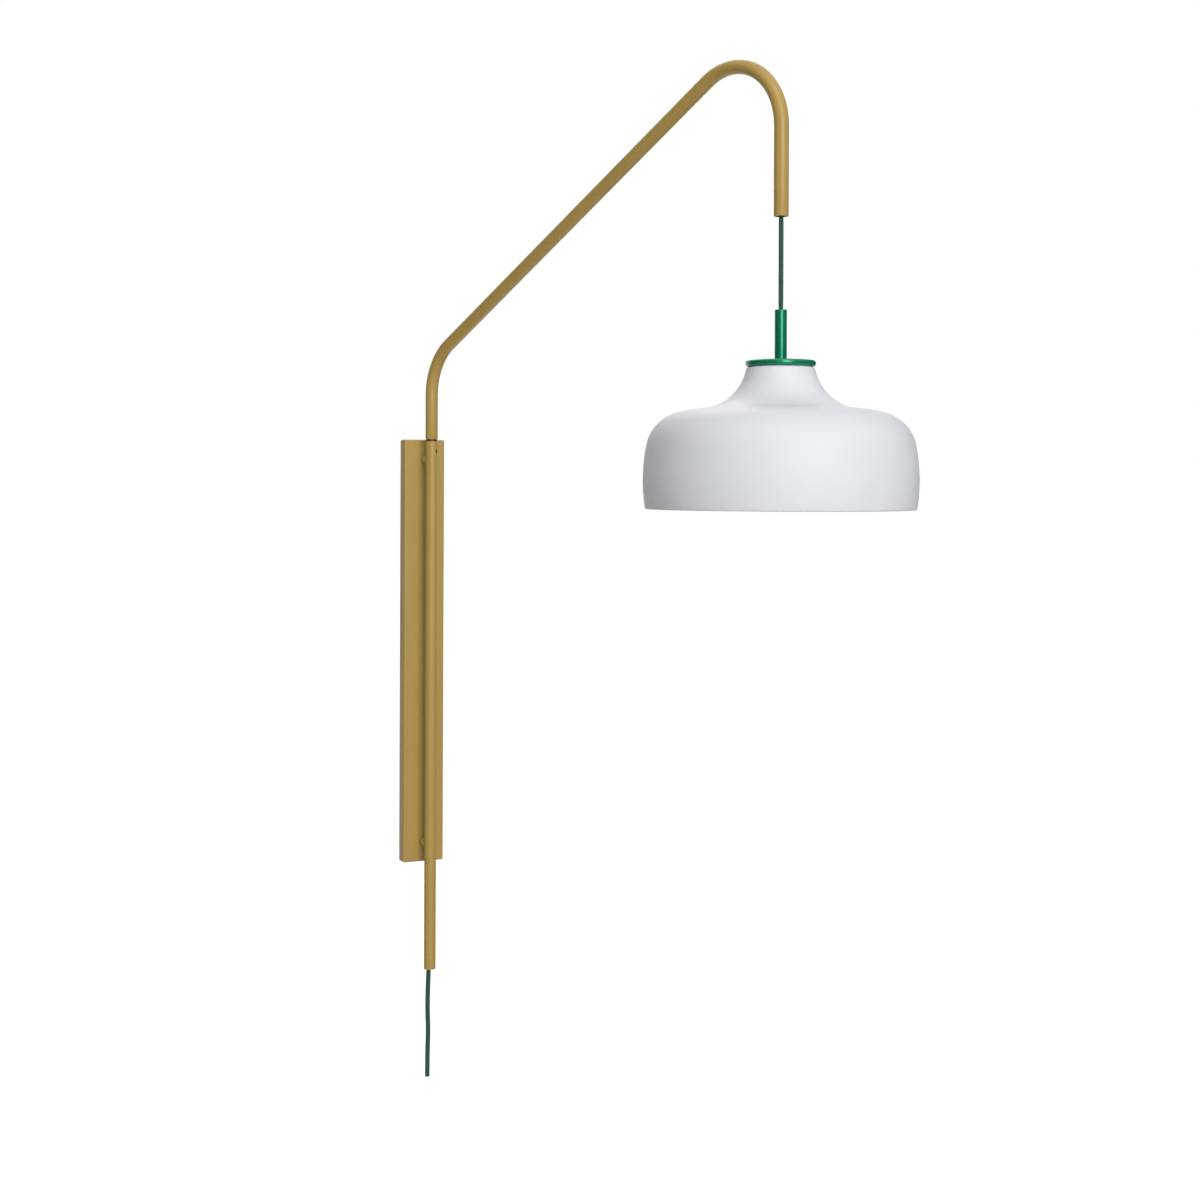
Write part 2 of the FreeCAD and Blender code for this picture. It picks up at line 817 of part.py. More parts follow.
# ---- Bulb -------------------------------------------------------------------------------------
def bulb_tip_top():
    """The bulb's tip meets the contact strip."""
    return holder_split() - insert_height - contact_height


def base_top():
    return bulb_tip_top() - bulb_tip_height - bulb_insulator_height


def base_bottom():
    return base_top() - bulb_thread_turns * bulb_thread_pitch - bulb_collar


def bulb_base():
    """Screw cap with a rounded thread, drawn as rings."""
    crest = bulb_thread_d / 2
    root = crest - bulb_thread_depth
    edges = []
    z = base_top()
    mean = (crest + root) / 2
    half = bulb_thread_pitch / 2
    for radius in (crest, root) * bulb_thread_turns:
        edges.append(Part.Arc(V(mean, 0, z), V(radius, 0, z - half / 2), V(mean, 0, z - half)).toShape())
        z -= half
    corners = [V(mean, 0, z), V(mean, 0, base_bottom()), V(0, 0, base_bottom()), V(0, 0, base_top()),
               V(mean, 0, base_top())]
    edges += [Part.LineSegment(a, b).toShape() for a, b in zip(corners, corners[1:])]
    solid = turn_wire(Part.Wire(edges))
    inner = root - shell_wall
    return at_tip(solid.cut(rod(inner, base_bottom() - 1, base_top() - shell_wall)))


def bulb_insulator():
    low = base_top()
    high = low + bulb_insulator_height
    tip = bulb_tip_d / 2
    glass = lathe([(0, low), (bulb_thread_d / 2 - bulb_insulator_inset, low), (tip + 1, high), (0, high)])
    button = rod(tip, high, high + bulb_tip_height)
    crown = [e for e in button.Edges if e.BoundBox.ZMin > high + bulb_tip_height / 2 and e.Length > tip]
    button = button.makeFillet(bulb_tip_height * 0.4, crown)
    return at_tip(glass.fuse(button).removeSplitter())


def bulb_globe():
    """Pear-shaped glass, open where it is cemented into the screw cap."""
    neck = bulb_neck_d / 2
    ball = bulb_d / 2
    flare = math.degrees(math.acos((neck + bulb_flare_radius) / (bulb_flare_radius + ball)))
    top = base_bottom()
    outer, end, heading = trace((neck, top), -90, [(bulb_flare_radius, flare), (ball, -90 - flare)])
    steps = [(bulb_flare_radius + bulb_wall, flare), (ball - bulb_wall, -90 - flare)]
    inner, inner_end, heading = trace((neck - bulb_wall, top), -90, steps)
    mouth = Part.LineSegment(V(neck - bulb_wall, 0, top), V(neck, 0, top)).toShape()
    pole = Part.LineSegment(V(0, 0, end[1]), V(0, 0, inner_end[1])).toShape()
    loop = Part.Wire(Part.__sortEdges__(outer + [pole] + inner + [mouth]))
    return at_tip(turn_wire(loop))


def pieces():
    """Every piece of the lamp, by its name."""
    both = (1, -1)
    return {
        "wall_plate": wall_plate(),
        "wall_rail": wall_rail(),
        "cover_screws": cover_screws(),
        "standoff_upper": standoff(1),
        "standoff_lower": standoff(-1),
        "standoff_screws": Part.makeCompound([standoff_screw(side) for side in both]),
        "standoff_washers": Part.makeCompound([standoff_washer(side) for side in both]),
        "pole_tube": pole_tube(),
        "pole_end_bush": pole_end_bush(),
        "swivel_bush_upper": swivel_bush_upper(),
        "swivel_bush_lower": swivel_bush_lower(),
        "friction_screw": friction_screw(),
        "pole_cable": pole_cable(),
        "splice_connector": splice_connector(),
        "mains_lead": mains_lead(),
        "mains_lead_stop": mains_lead_stop(),
        "mains_cord": mains_cord(),
        "swivel_spigot": swivel_spigot(),
        "arm_tube": arm_tube(),
        "arm_cable": arm_cable(),
        "arm_cable_stop": arm_cable_stop(),
        "arm_end_bush": arm_end_bush(),
        "pendant_cord": pendant_cord(),
        "stem_tube": stem_tube(),
        "stem_cord_grip": stem_cord_grip(),
        "stem_cable": stem_cable(),
        "stem_cable_stop": stem_cable_stop(),
        "threaded_nipple": threaded_nipple(),
        "shade_cap": shade_cap(),
        "cap_gasket": cap_gasket(),
        "glass_shade": glass_shade(),
        "clamp_gasket": clamp_gasket(),
        "clamp_plate": clamp_plate(),
        "clamp_washer": clamp_washer(),
        "clamp_nut": clamp_nut(),
        "lampholder_cap": lampholder_cap(),
        "lampholder_body": lampholder_body(),
        "lampholder_insert": lampholder_insert(),
        "lampholder_shell": lampholder_shell(),
        "centre_contact": centre_contact(),
        "core_wires": core_wires(),
        "bulb_base": bulb_base(),
        "bulb_insulator": bulb_insulator(),
        "bulb_globe": bulb_globe(),
    }


def main():
    os.makedirs("parts", exist_ok=True)
    for name, shape in pieces().items():
        if not shape.isValid() or not shape.Solids:
            raise RuntimeError(name + " is not a valid solid")
        shape.exportStep(os.path.join("parts", name + ".step"))
        box = shape.BoundBox
        print("%-18s %2d solid(s) %9.0f mm3  x %.1f..%.1f  y %.1f..%.1f  z %.1f..%.1f" % (
            name, len(shape.Solids), shape.Volume, box.XMin, box.XMax, box.YMin, box.YMax, box.ZMin, box.ZMax))


main()
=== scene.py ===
import json
import math

import bmesh
import bpy
from bpy.props import FloatProperty, FloatVectorProperty, IntProperty, PointerProperty
from mathutils import Matrix, Vector


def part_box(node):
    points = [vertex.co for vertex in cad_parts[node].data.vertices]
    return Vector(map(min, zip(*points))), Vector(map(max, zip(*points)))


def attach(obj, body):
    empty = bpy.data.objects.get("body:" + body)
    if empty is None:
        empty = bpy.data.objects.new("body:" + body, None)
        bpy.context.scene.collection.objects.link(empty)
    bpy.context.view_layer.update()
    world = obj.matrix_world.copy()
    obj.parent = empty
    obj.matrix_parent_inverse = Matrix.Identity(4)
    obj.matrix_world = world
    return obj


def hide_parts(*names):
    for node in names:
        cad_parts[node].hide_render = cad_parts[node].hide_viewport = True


bl_info = {
    "name": "Gooseneck Wall Lamp",
    "version": (1, 0, 0),
    "blender": (4, 5, 0),
    "location": "View3D > Sidebar > Wall Lamp",
    "description": "Dresses a gooseneck wall lamp: coated tubes, opal glass, braided cords and fittings",
    "category": "Object",
}

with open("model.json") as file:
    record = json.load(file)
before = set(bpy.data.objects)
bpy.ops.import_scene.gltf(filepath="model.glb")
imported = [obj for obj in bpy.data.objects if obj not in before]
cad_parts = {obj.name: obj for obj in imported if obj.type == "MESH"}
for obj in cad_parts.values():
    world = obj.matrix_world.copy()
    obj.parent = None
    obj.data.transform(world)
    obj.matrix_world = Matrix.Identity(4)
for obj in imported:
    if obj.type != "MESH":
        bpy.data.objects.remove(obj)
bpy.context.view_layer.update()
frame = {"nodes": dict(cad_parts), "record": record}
BODY_OF = {node: body for body, nodes in frame["record"]["behaviour"]["bodies"].items() for node in nodes}
SLOT_OF = {part["node"]: part["material_slot"] for part in frame["record"]["subparts"]}
MM = 0.001
SAME_PLACE = 1e-7      # metres within which a turned piece's vertices are one
CREASE = 32.0          # degrees past which an edge between faces stays sharp
THREAD_ROWS = 72       # rows of faces up the screw cap's wall, and up the sleeve round it
MADE = {}              # finishes by name, filled by make_finishes

# The camera as fitted to the photograph: its place in metres, the degrees that it is turned and rolled, and
# its upward shift in frame widths.
CAMERA_PLACE = (-0.9229, -2.5719, 0.2469)
CAMERA_TURN = -25.14
CAMERA_ROLL = 0.205
CAMERA_SHIFT = -0.102


# ---- Places read from the frame ---------------------------------------------------------------
def middle(node):
    low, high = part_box(node)
    return (low + high) / 2


def levels(node):
    """Heights of a node's lower and upper end, in millimetres."""
    return [corner.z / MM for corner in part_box(node)]


def on_axis(node, height):
    """Point on the vertical axis of a round node."""
    centre = middle(node)
    return Vector((centre.x, centre.y, height))


POLE = on_axis("pole_tube", 0.0)
SHADE = on_axis("stem_tube", 0.0)
REACH = SHADE - POLE
AHEAD = REACH.normalized()


# ---- Colours and nodes ------------------------------------------------------------------------
def linear(code):
    """Linear colour of an sRGB hex code."""
    parts = [int(code[i:i + 2], 16) / 255 for i in (0, 2, 4)]
    return tuple(p / 12.92 if p <= 0.04045 else ((p + 0.055) / 1.055) ** 2.4 for p in parts) + (1.0,)


def per(size):
    """Scale of a pattern whose features are size millimetres apart, on coordinates in metres."""
    return 1000.0 / size


def feed(tree, node, inputs):
    """Gives sockets, by name or number, a value, or a link from an output or a node's first output."""
    for key, value in inputs.items():
        if isinstance(value, bpy.types.Node):
            value = value.outputs[0]
        if isinstance(value, bpy.types.NodeSocket):
            tree.links.new(value, node.inputs[key])
        else:
            node.inputs[key].default_value = value


def add(tree, kind, inputs=None, **settings):
    """Adds a node with its own settings, and feeds its sockets."""
    node = tree.nodes.new(kind)
    for key, value in settings.items():
        setattr(node, key, value)
    feed(tree, node, inputs or {})
    return node


def cleared(owner):
    """The node tree of a new material or world, without the nodes that it comes with."""
    owner.use_nodes = True
    owner.node_tree.nodes.clear()
    return owner.node_tree


def surface(name):
    """A new finish: its material, node tree, surface shader and the piece's own coordinates."""
    material = bpy.data.materials.new(name)
    tree = cleared(material)
    shader = add(tree, "ShaderNodeBsdfPrincipled")
    add(tree, "ShaderNodeOutputMaterial", {"Surface": shader})
    place = add(tree, "ShaderNodeTexCoord").outputs["Object"]
    return material, tree, shader, place


# ---- Finishes ---------------------------------------------------------------------------------
def clouded(name, colours, clouds, skin=None, gloss=0.5, relief=None, inputs=None):
    """A finish with clouds of two colours, and a skin that varies its gloss and stands out in relief.

    Clouds and skin are each a noise, as (millimetres, detail); without a skin the clouds do its work. Gloss
    is one roughness, or the least and the most of it. Relief is (metres, strength).
    """
    material, tree, shader, place = surface(name)
    noises = [add(tree, "ShaderNodeTexNoise", {"Vector": place, "Scale": per(size), "Detail": detail})
              for size, detail in filter(None, (clouds, skin))]
    colour = add(tree, "ShaderNodeMix", {0: noises[0], 6: colours[0], 7: colours[1]}, data_type="RGBA")
    if isinstance(gloss, tuple):
        gloss = add(tree, "ShaderNodeMapRange", {"Value": noises[-1], "To Min": gloss[0], "To Max": gloss[1]})
    feed(tree, shader, {"Base Color": colour.outputs[2], "Roughness": gloss, **(inputs or {})})
    if relief:
        bumps = add(tree, "ShaderNodeBump",
                    {"Height": noises[-1], "Distance": relief[0], "Strength": relief[1]})
        feed(tree, shader, {"Normal": bumps})
    return material


def powder_coat(dark, light):
    """Steel with a baked polyester powder coat.

    Satin, with one even colour that drifts very slightly and a fine pebbled skin that softens highlights. The
    real skin's pebbles are about 0.4 mm; they are drawn 1.6 mm wide so that they show at all.
    """
    return clouded("ochre_powder_coat", (dark, light), clouds=(60, 2.0), skin=(1.6, 3.0), gloss=(0.34, 0.46),
                   relief=(0.00005, 0.35), inputs={"IOR": 1.5})


def sprayed_enamel(dark, light):
    """Turned aluminium sprayed with metallic enamel: deep colour, and a silky highlight tinted by it."""
    return clouded("green_enamel", (dark, light), clouds=(18, 2.0), skin=(3.5, 1.0), gloss=(0.28, 0.34),
                   relief=(0.00006, 0.2), inputs={"Metallic": 0.4})


def opal_glass(dark, light):
    """Mouth-blown opal glass with an acid-etched skin: milky white, silky, no sharp reflections."""
    return clouded("opal_glass", (dark, light), clouds=(40, 3.0), skin=(30, 1.0), gloss=(0.5, 0.58), inputs={
        "IOR": 1.45, "Subsurface Weight": 0.2, "Subsurface Radius": (0.004, 0.004, 0.004)})


def plated_steel(name, dark, light):
    """Plate on turned steel, bright or bronzed: faint passivation clouds and tool marks."""
    return clouded(name, (dark, light), clouds=(6, 4.0), skin=(0.8, 2.0), gloss=(0.22, 0.38),
                   inputs={"Metallic": 1.0})


def moulded(name, dark, light, rough, grain):
    """Injection-moulded plastic: even colour, spark-eroded texture of the given grain in millimetres."""
    return clouded(name, (dark, light), clouds=(grain, 3.0), gloss=(rough - 0.06, rough + 0.06),
                   relief=(0.00004, 0.3), inputs={"IOR": 1.5})


def glazed_ceramic():
    """Pressed steatite with a clear glaze: off-white, smooth, with pin-head specks."""
    material, tree, shader, place = surface("glazed_ceramic")
    specks = add(tree, "ShaderNodeTexNoise", {"Vector": place, "Scale": per(0.7), "Detail": 1.0})
    mask = add(tree, "ShaderNodeMapRange", {"Value": specks, "From Min": 0.62, "From Max": 0.75})
    colour = add(tree, "ShaderNodeMix", {0: mask, 6: linear("EDEBE2"), 7: linear("CFCAB9")},
                 data_type="RGBA")
    feed(tree, shader, {"Base Color": colour.outputs[2], "Roughness": 0.16, "IOR": 1.55})
    return material


def drawn_brass(name, dull, bright):
    """Deep-drawn brass sheet, bare or nickelled: warm metal with fine drawing marks round its axis."""
    material, tree, shader, place = surface(name)
    stretch = add(tree, "ShaderNodeMapping", {"Vector": place, "Scale": (1.0, 1.0, 14.0)})
    marks = add(tree, "ShaderNodeTexNoise", {"Vector": stretch, "Scale": per(3.0), "Detail": 3.0})
    colour = add(tree, "ShaderNodeMix", {0: marks, 6: dull, 7: bright}, data_type="RGBA")
    gloss = add(tree, "ShaderNodeMapRange", {"Value": marks, "To Min": 0.2, "To Max": 0.36})
    feed(tree, shader, {"Base Color": colour.outputs[2], "Roughness": gloss, "Metallic": 1.0})
    return material


def frosted_glass():
    """Bulb glass with an electrostatic white powder inside: soft white behind a smooth outer skin."""
    return clouded("frosted_bulb_glass", (linear("EFEDE6"), linear("F7F5EF")), clouds=(1.2, 3.0),
                   gloss=(0.2, 0.3), inputs={
                       "IOR": 1.5, "Subsurface Weight": 0.15, "Subsurface Radius": (0.003, 0.003, 0.003)})


def yarn(dark, light):
    """Twisted polyester yarn of a textile cord: matt, with a fibre sheen and darker and lighter picks.

    Fibres are 0.02 mm thick; they are drawn as 0.25 mm strokes so that a close view shows them.
    """
    return clouded("green_braid_yarn", (dark, light), clouds=(1.1, 2.0), skin=(0.25, 2.0), gloss=0.78,
                   relief=(0.00008, 0.5), inputs={"Sheen Weight": 0.25, "Sheen Roughness": 0.5})


def cable_sheath():
    """PVC inner sheath under the braid: dark green, matt, slightly wrinkled by the strands."""
    return moulded("inner_sheath", linear("1E3B33"), linear("27493F"), 0.6, 0.8)


def wire_insulation():
    """Silicone-rubber insulation: matt, one core brown and one blue, each on its own side of the axis."""
    material, tree, shader, place = surface("wire_insulation")
    parts = add(tree, "ShaderNodeVectorMath", {0: place, 1: tuple(-AHEAD)}, operation="DOT_PRODUCT")
    side = add(tree, "ShaderNodeMath", {0: parts.outputs["Value"], 1: -AHEAD.dot(SHADE)},
               operation="GREATER_THAN")
    fine = add(tree, "ShaderNodeTexNoise", {"Vector": place, "Scale": per(0.6)})
    blue = add(tree, "ShaderNodeMix", {0: fine, 6: linear("2B5C9E"), 7: linear("3A6CB0")}, data_type="RGBA")
    colour = add(tree, "ShaderNodeMix", {0: side, 6: linear("5A3A22"), 7: blue.outputs[2]},
                 data_type="RGBA")
    feed(tree, shader, {"Base Color": colour.outputs[2], "Roughness": 0.5})
    return material


def silicone():
    """Translucent silicone gasket: milky, matt, a little light passes into it."""
    return clouded("silicone_gasket", (linear("D4D6D2"), linear("E4E5E1")), clouds=(2.5, 2.0), gloss=0.45,
                   inputs={"Subsurface Weight": 0.2, "Subsurface Radius": (0.002, 0.002, 0.002)})


def make_finishes(paint):
    """Every finish, by the record's material slot, or by its own name where a piece asks for another one."""
    ochre, green, opal, braid = (
        [(*getattr(paint, colour + tone), 1.0) for tone in ("_dark", "_light")]
        for colour in ("ochre", "green", "opal", "yarn"))
    MADE.update({
        "ochre_paint": powder_coat(*ochre),
        "green_paint": sprayed_enamel(*green),
        "opal_glass": opal_glass(*opal),
        "green_textile_cord": yarn(*braid),
        "inner_sheath": cable_sheath(),
        "zinc_steel": plated_steel("bright_zinc_plate", linear("A9ABAA"), linear("C9CACB")),
        "bronzed_steel": plated_steel("bronzed_steel", linear("7E6435"), linear("907443")),
        "black_nylon": moulded("black_nylon", linear("1B1815"), linear("26221E"), 0.5, 0.5),
        # Nylon drawn dark brown as painted shade: the colour of the shaded ochre gap between the arm and the
        # pole.
        "umber_nylon": moulded("umber_nylon", linear("4A3315"), linear("5C421D"), 0.5, 0.5),
        "moulded_plastic": moulded("moulded_thermoset", linear("E3E1DA"), linear("EDEBE5"), 0.34, 0.6),
        "white_ceramic": glazed_ceramic(),
        "black_glass": moulded("vitreous_insulator", linear("101014"), linear("1C1C22"), 0.12, 2.0),
        "brass": drawn_brass("drawn_brass", linear("B8924E"), linear("D9B871")),
        "nickel_brass": drawn_brass("nickelled_brass", linear("B5B1A8"), linear("D6D3CB")),
        "frosted_bulb_glass": frosted_glass(),
        "wire_insulation": wire_insulation(),
        "clear_silicone": silicone(),
    })


# ---- Shapes -----------------------------------------------------------------------------------
def trace(start, heading, steps, fineness):
    """Points of a flat path, and its last heading: (length,) is a line, (radius, turn) an arc to the left.

    Headings, turns and the fineness of the arcs are in degrees.
    """
    points = [Vector(start)]
    angle = heading
    for step in steps:
        point = points[-1]
        if len(step) == 1:
            a = math.radians(angle)
            points.append(point + Vector((math.cos(a), math.sin(a))) * step[0])
            continue
        radius, turn = step
        side = math.copysign(1.0, turn)
        a = math.radians(angle)
        centre = point + Vector((-math.sin(a), math.cos(a))) * (side * radius)
        count = max(2, math.ceil(abs(turn) / fineness))
        for i in range(1, count + 1):
            b = math.radians(angle + turn * i / count)
            points.append(centre + Vector((math.sin(b), -math.cos(b))) * (side * radius))
        angle += turn
    return points, angle


def eased(corners, fineness=15.0):
    """Closed outline through (radius, height, rounding) corners, with arcs as fine as so many degrees."""
    points = []
    count = len(corners)
    for i, (r, z, ease) in enumerate(corners):
        corner = Vector((r, z))
        back = Vector(corners[i - 1][:2]) - corner
        forth = Vector(corners[(i + 1) % count][:2]) - corner
        turn = math.pi - back.angle(forth)
        cut = ease * math.tan(turn / 2)
        first = corner + back.normalized() * cut
        last = corner + forth.normalized() * cut
        centre = corner + (back.normalized() + forth.normalized()).normalized() * (ease / math.cos(turn / 2))
        steps = max(2, math.ceil(math.degrees(turn) / fineness))
        a = first - centre
        spin = math.atan2(a.x * (last - centre).y - a.y * (last - centre).x, a.dot(last - centre))
        for k in range(steps + 1):
            b = spin * k / steps
            points.append(centre + Vector((a.x * math.cos(b) - a.y * math.sin(b),
                                           a.x * math.sin(b) + a.y * math.cos(b))))
    return points


def hexagon_reach(flats, angle):
    """Distance from the centre to the side of a hexagon whose half width across flats is given."""
    corner = math.radians((math.degrees(angle) + 30) % 60 - 30)
    return flats / math.cos(math.radians(30) - abs(corner))


def turned(name, outline, centre, sides=96, hexagons=()):
    """Turned piece: a closed outline of (radius, height) in millimetres, carried round a vertical axis.

    Stations numbered in hexagons get six flats, and their radius is then half the width across flats.
    """
    bm = bmesh.new()
    rings = []
    for number, point in enumerate(outline):
        r, z = point[0] * MM, point[1] * MM
        if r < SAME_PLACE:
            rings.append([bm.verts.new((centre.x, centre.y, z))])
            continue
        ring = []
        for i in range(sides):
            a = 2 * math.pi * i / sides
            reach = hexagon_reach(r, a) if number in hexagons else r
            ring.append(bm.verts.new((centre.x + reach * math.cos(a), centre.y + reach * math.sin(a), z)))
        rings.append(ring)
    for a, b in zip(rings, rings[1:] + rings[:1]):
        if len(a) == 1 and len(b) == 1:
            continue
        for i in range(sides):
            j = (i + 1) % sides
            corners = [a[i % len(a)], a[j % len(a)], b[j % len(b)], b[i % len(b)]]
            bm.faces.new(list(dict.fromkeys(corners)))
    bmesh.ops.remove_doubles(bm, verts=bm.verts, dist=SAME_PLACE)
    bmesh.ops.recalc_face_normals(bm, faces=bm.faces)
    mesh = bpy.data.meshes.new(name)
    bm.to_mesh(mesh)
    bm.free()
    return placed(name, mesh)


def placed(name, mesh):
    """A new object in the scene for a mesh or curve, at the origin."""
    mesh.name = name
    piece = bpy.data.objects.new(name, mesh)
    bpy.context.scene.collection.objects.link(piece)
    return piece


def shade(mesh, crease=CREASE):
    """Smooth faces, with sharp edges where they turn by more than crease degrees."""
    mesh.shade_smooth()
    mesh.set_sharp_from_angle(angle=math.radians(crease))


def solid_form(piece):
    """The piece with its modifiers worked into a plain mesh."""
    depsgraph = bpy.context.evaluated_depsgraph_get()
    depsgraph.update()
    mesh = bpy.data.meshes.new_from_object(piece.evaluated_get(depsgraph))
    name = piece.name
    bpy.data.objects.remove(piece)
    return placed(name, mesh)


def finished(piece, node, finish=None, crease=None):
    """Gives a piece its shading and finish, sets it riding on its body and lets it stand for its CAD node."""
    if crease:
        shade(piece.data, crease)
    piece.data.materials.clear()
    piece.data.materials.append(MADE[finish or SLOT_OF[node]])
    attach(piece, BODY_OF[node])
    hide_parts(node)
    return piece


def copied(node, finish=None):
    """A merged and smoothly shaded copy of a CAD node, whose triangles come loose."""
    bm = bmesh.new()
    bm.from_mesh(frame["nodes"][node].data)
    bmesh.ops.remove_doubles(bm, verts=bm.verts, dist=1e-6)
    mesh = bpy.data.meshes.new(node + "_form")
    bm.to_mesh(mesh)
    bm.free()
    if "custom_normal" in mesh.attributes:
        mesh.attributes.remove(mesh.attributes["custom_normal"])
    shade(mesh)
    piece = placed(node + "_form", mesh)
    weights = piece.modifiers.new("even_flats", "WEIGHTED_NORMAL")
    weights.keep_sharp = True
    return finished(solid_form(piece), node, finish=finish)


def polyline(name, points):
    """Mesh of one open line, for a tree to work on."""
    mesh = bpy.data.meshes.new(name)
    mesh.from_pydata([tuple(p) for p in points], [(i, i + 1) for i in range(len(points) - 1)], [])
    return placed(name, mesh)


# ---- Geometry Nodes trees ---------------------------------------------------------------------
def geometry_tree(name, inputs):
    """An empty tree with named inputs, each (name, socket type, default)."""
    tree = bpy.data.node_groups.new(name, "GeometryNodeTree")
    tree.is_modifier = True
    tree.interface.new_socket("Geometry", in_out="INPUT", socket_type="NodeSocketGeometry")
    for label, kind, default in inputs:
        socket = tree.interface.new_socket(label, in_out="INPUT", socket_type=kind)
        if default is not None:
            socket.default_value = default
    tree.interface.new_socket("Geometry", in_out="OUTPUT", socket_type="NodeSocketGeometry")
    return tree, add(tree, "NodeGroupInput").outputs


def close_tree(tree, geometry, material):
    """Realizes what a tree made, shades it smooth, sets its material and puts it out."""
    real = add(tree, "GeometryNodeRealizeInstances", {0: geometry})
    smooth = add(tree, "GeometryNodeSetShadeSmooth", {0: real})
    painted = add(tree, "GeometryNodeSetMaterial", {0: smooth, "Material": material})
    add(tree, "NodeGroupOutput", {0: painted})
    return tree


def grown(source, tree, values, name):
    """Runs a tree on source, with its inputs set by name, and keeps the result as a plain mesh."""
    rule = source.modifiers.new("rule", "NODES")
    rule.node_group = tree
    for item in tree.interface.items_tree:
        if item.item_type == "SOCKET" and item.in_out == "INPUT" and item.name in values:
            rule[item.identifier] = values[item.name]
    source.name = name
    return solid_form(source)


def tube_tree():
    """A round bar along the given line."""
    tree, given = geometry_tree("tube_along_line", [
        ("Radius", "NodeSocketFloat", 0.0086), ("Sides", "NodeSocketInt", 64),
        ("Closed Ends", "NodeSocketBool", True), ("Material", "NodeSocketMaterial", None)])
    line = add(tree, "GeometryNodeMeshToCurve", {0: given["Geometry"]})
    section = add(tree, "GeometryNodeCurvePrimitiveCircle",
                  {"Resolution": given["Sides"], "Radius": given["Radius"]})
    bar = add(tree, "GeometryNodeCurveToMesh", {"Curve": line, "Profile Curve": section,
                                                "Fill Caps": given["Closed Ends"]})
    return close_tree(tree, bar.outputs[0], given["Material"])


def fastener_tree():
    """Copies of a fastener set out in a row, each turned a step further than the last."""
    tree, given = geometry_tree("fasteners_in_a_row", [
        ("Fastener", "NodeSocketObject", None), ("Count", "NodeSocketInt", 2),
        ("Start", "NodeSocketVector", (0, 0, 0)), ("Step", "NodeSocketVector", (0, 0, 0)),
        ("Turn", "NodeSocketVector", (0, 0, 0)), ("Turn Step", "NodeSocketVector", (0, 0, 0)),
        ("Material", "NodeSocketMaterial", None)])
    row = add(tree, "GeometryNodeMeshLine", {"Count": given["Count"], "Start Location": given["Start"],
                                             "Offset": given["Step"]}, mode="OFFSET")
    model = add(tree, "GeometryNodeObjectInfo", {"Object": given["Fastener"]}, transform_space="ORIGINAL")
    number = add(tree, "GeometryNodeInputIndex")
    further = add(tree, "ShaderNodeVectorMath", {0: given["Turn Step"], "Scale": number}, operation="SCALE")
    turn = add(tree, "ShaderNodeVectorMath", {0: given["Turn"], 1: further}, operation="ADD")
    rotation = add(tree, "FunctionNodeEulerToRotation", {0: turn})
    copies = add(tree, "GeometryNodeInstanceOnPoints",
                 {"Points": row, "Instance": model.outputs["Geometry"],
                  "Rotation": rotation})
    real = add(tree, "GeometryNodeRealizeInstances", {0: copies})
    painted = add(tree, "GeometryNodeSetMaterial", {0: real, "Material": given["Material"]})
    add(tree, "NodeGroupOutput", {0: painted})
    return tree


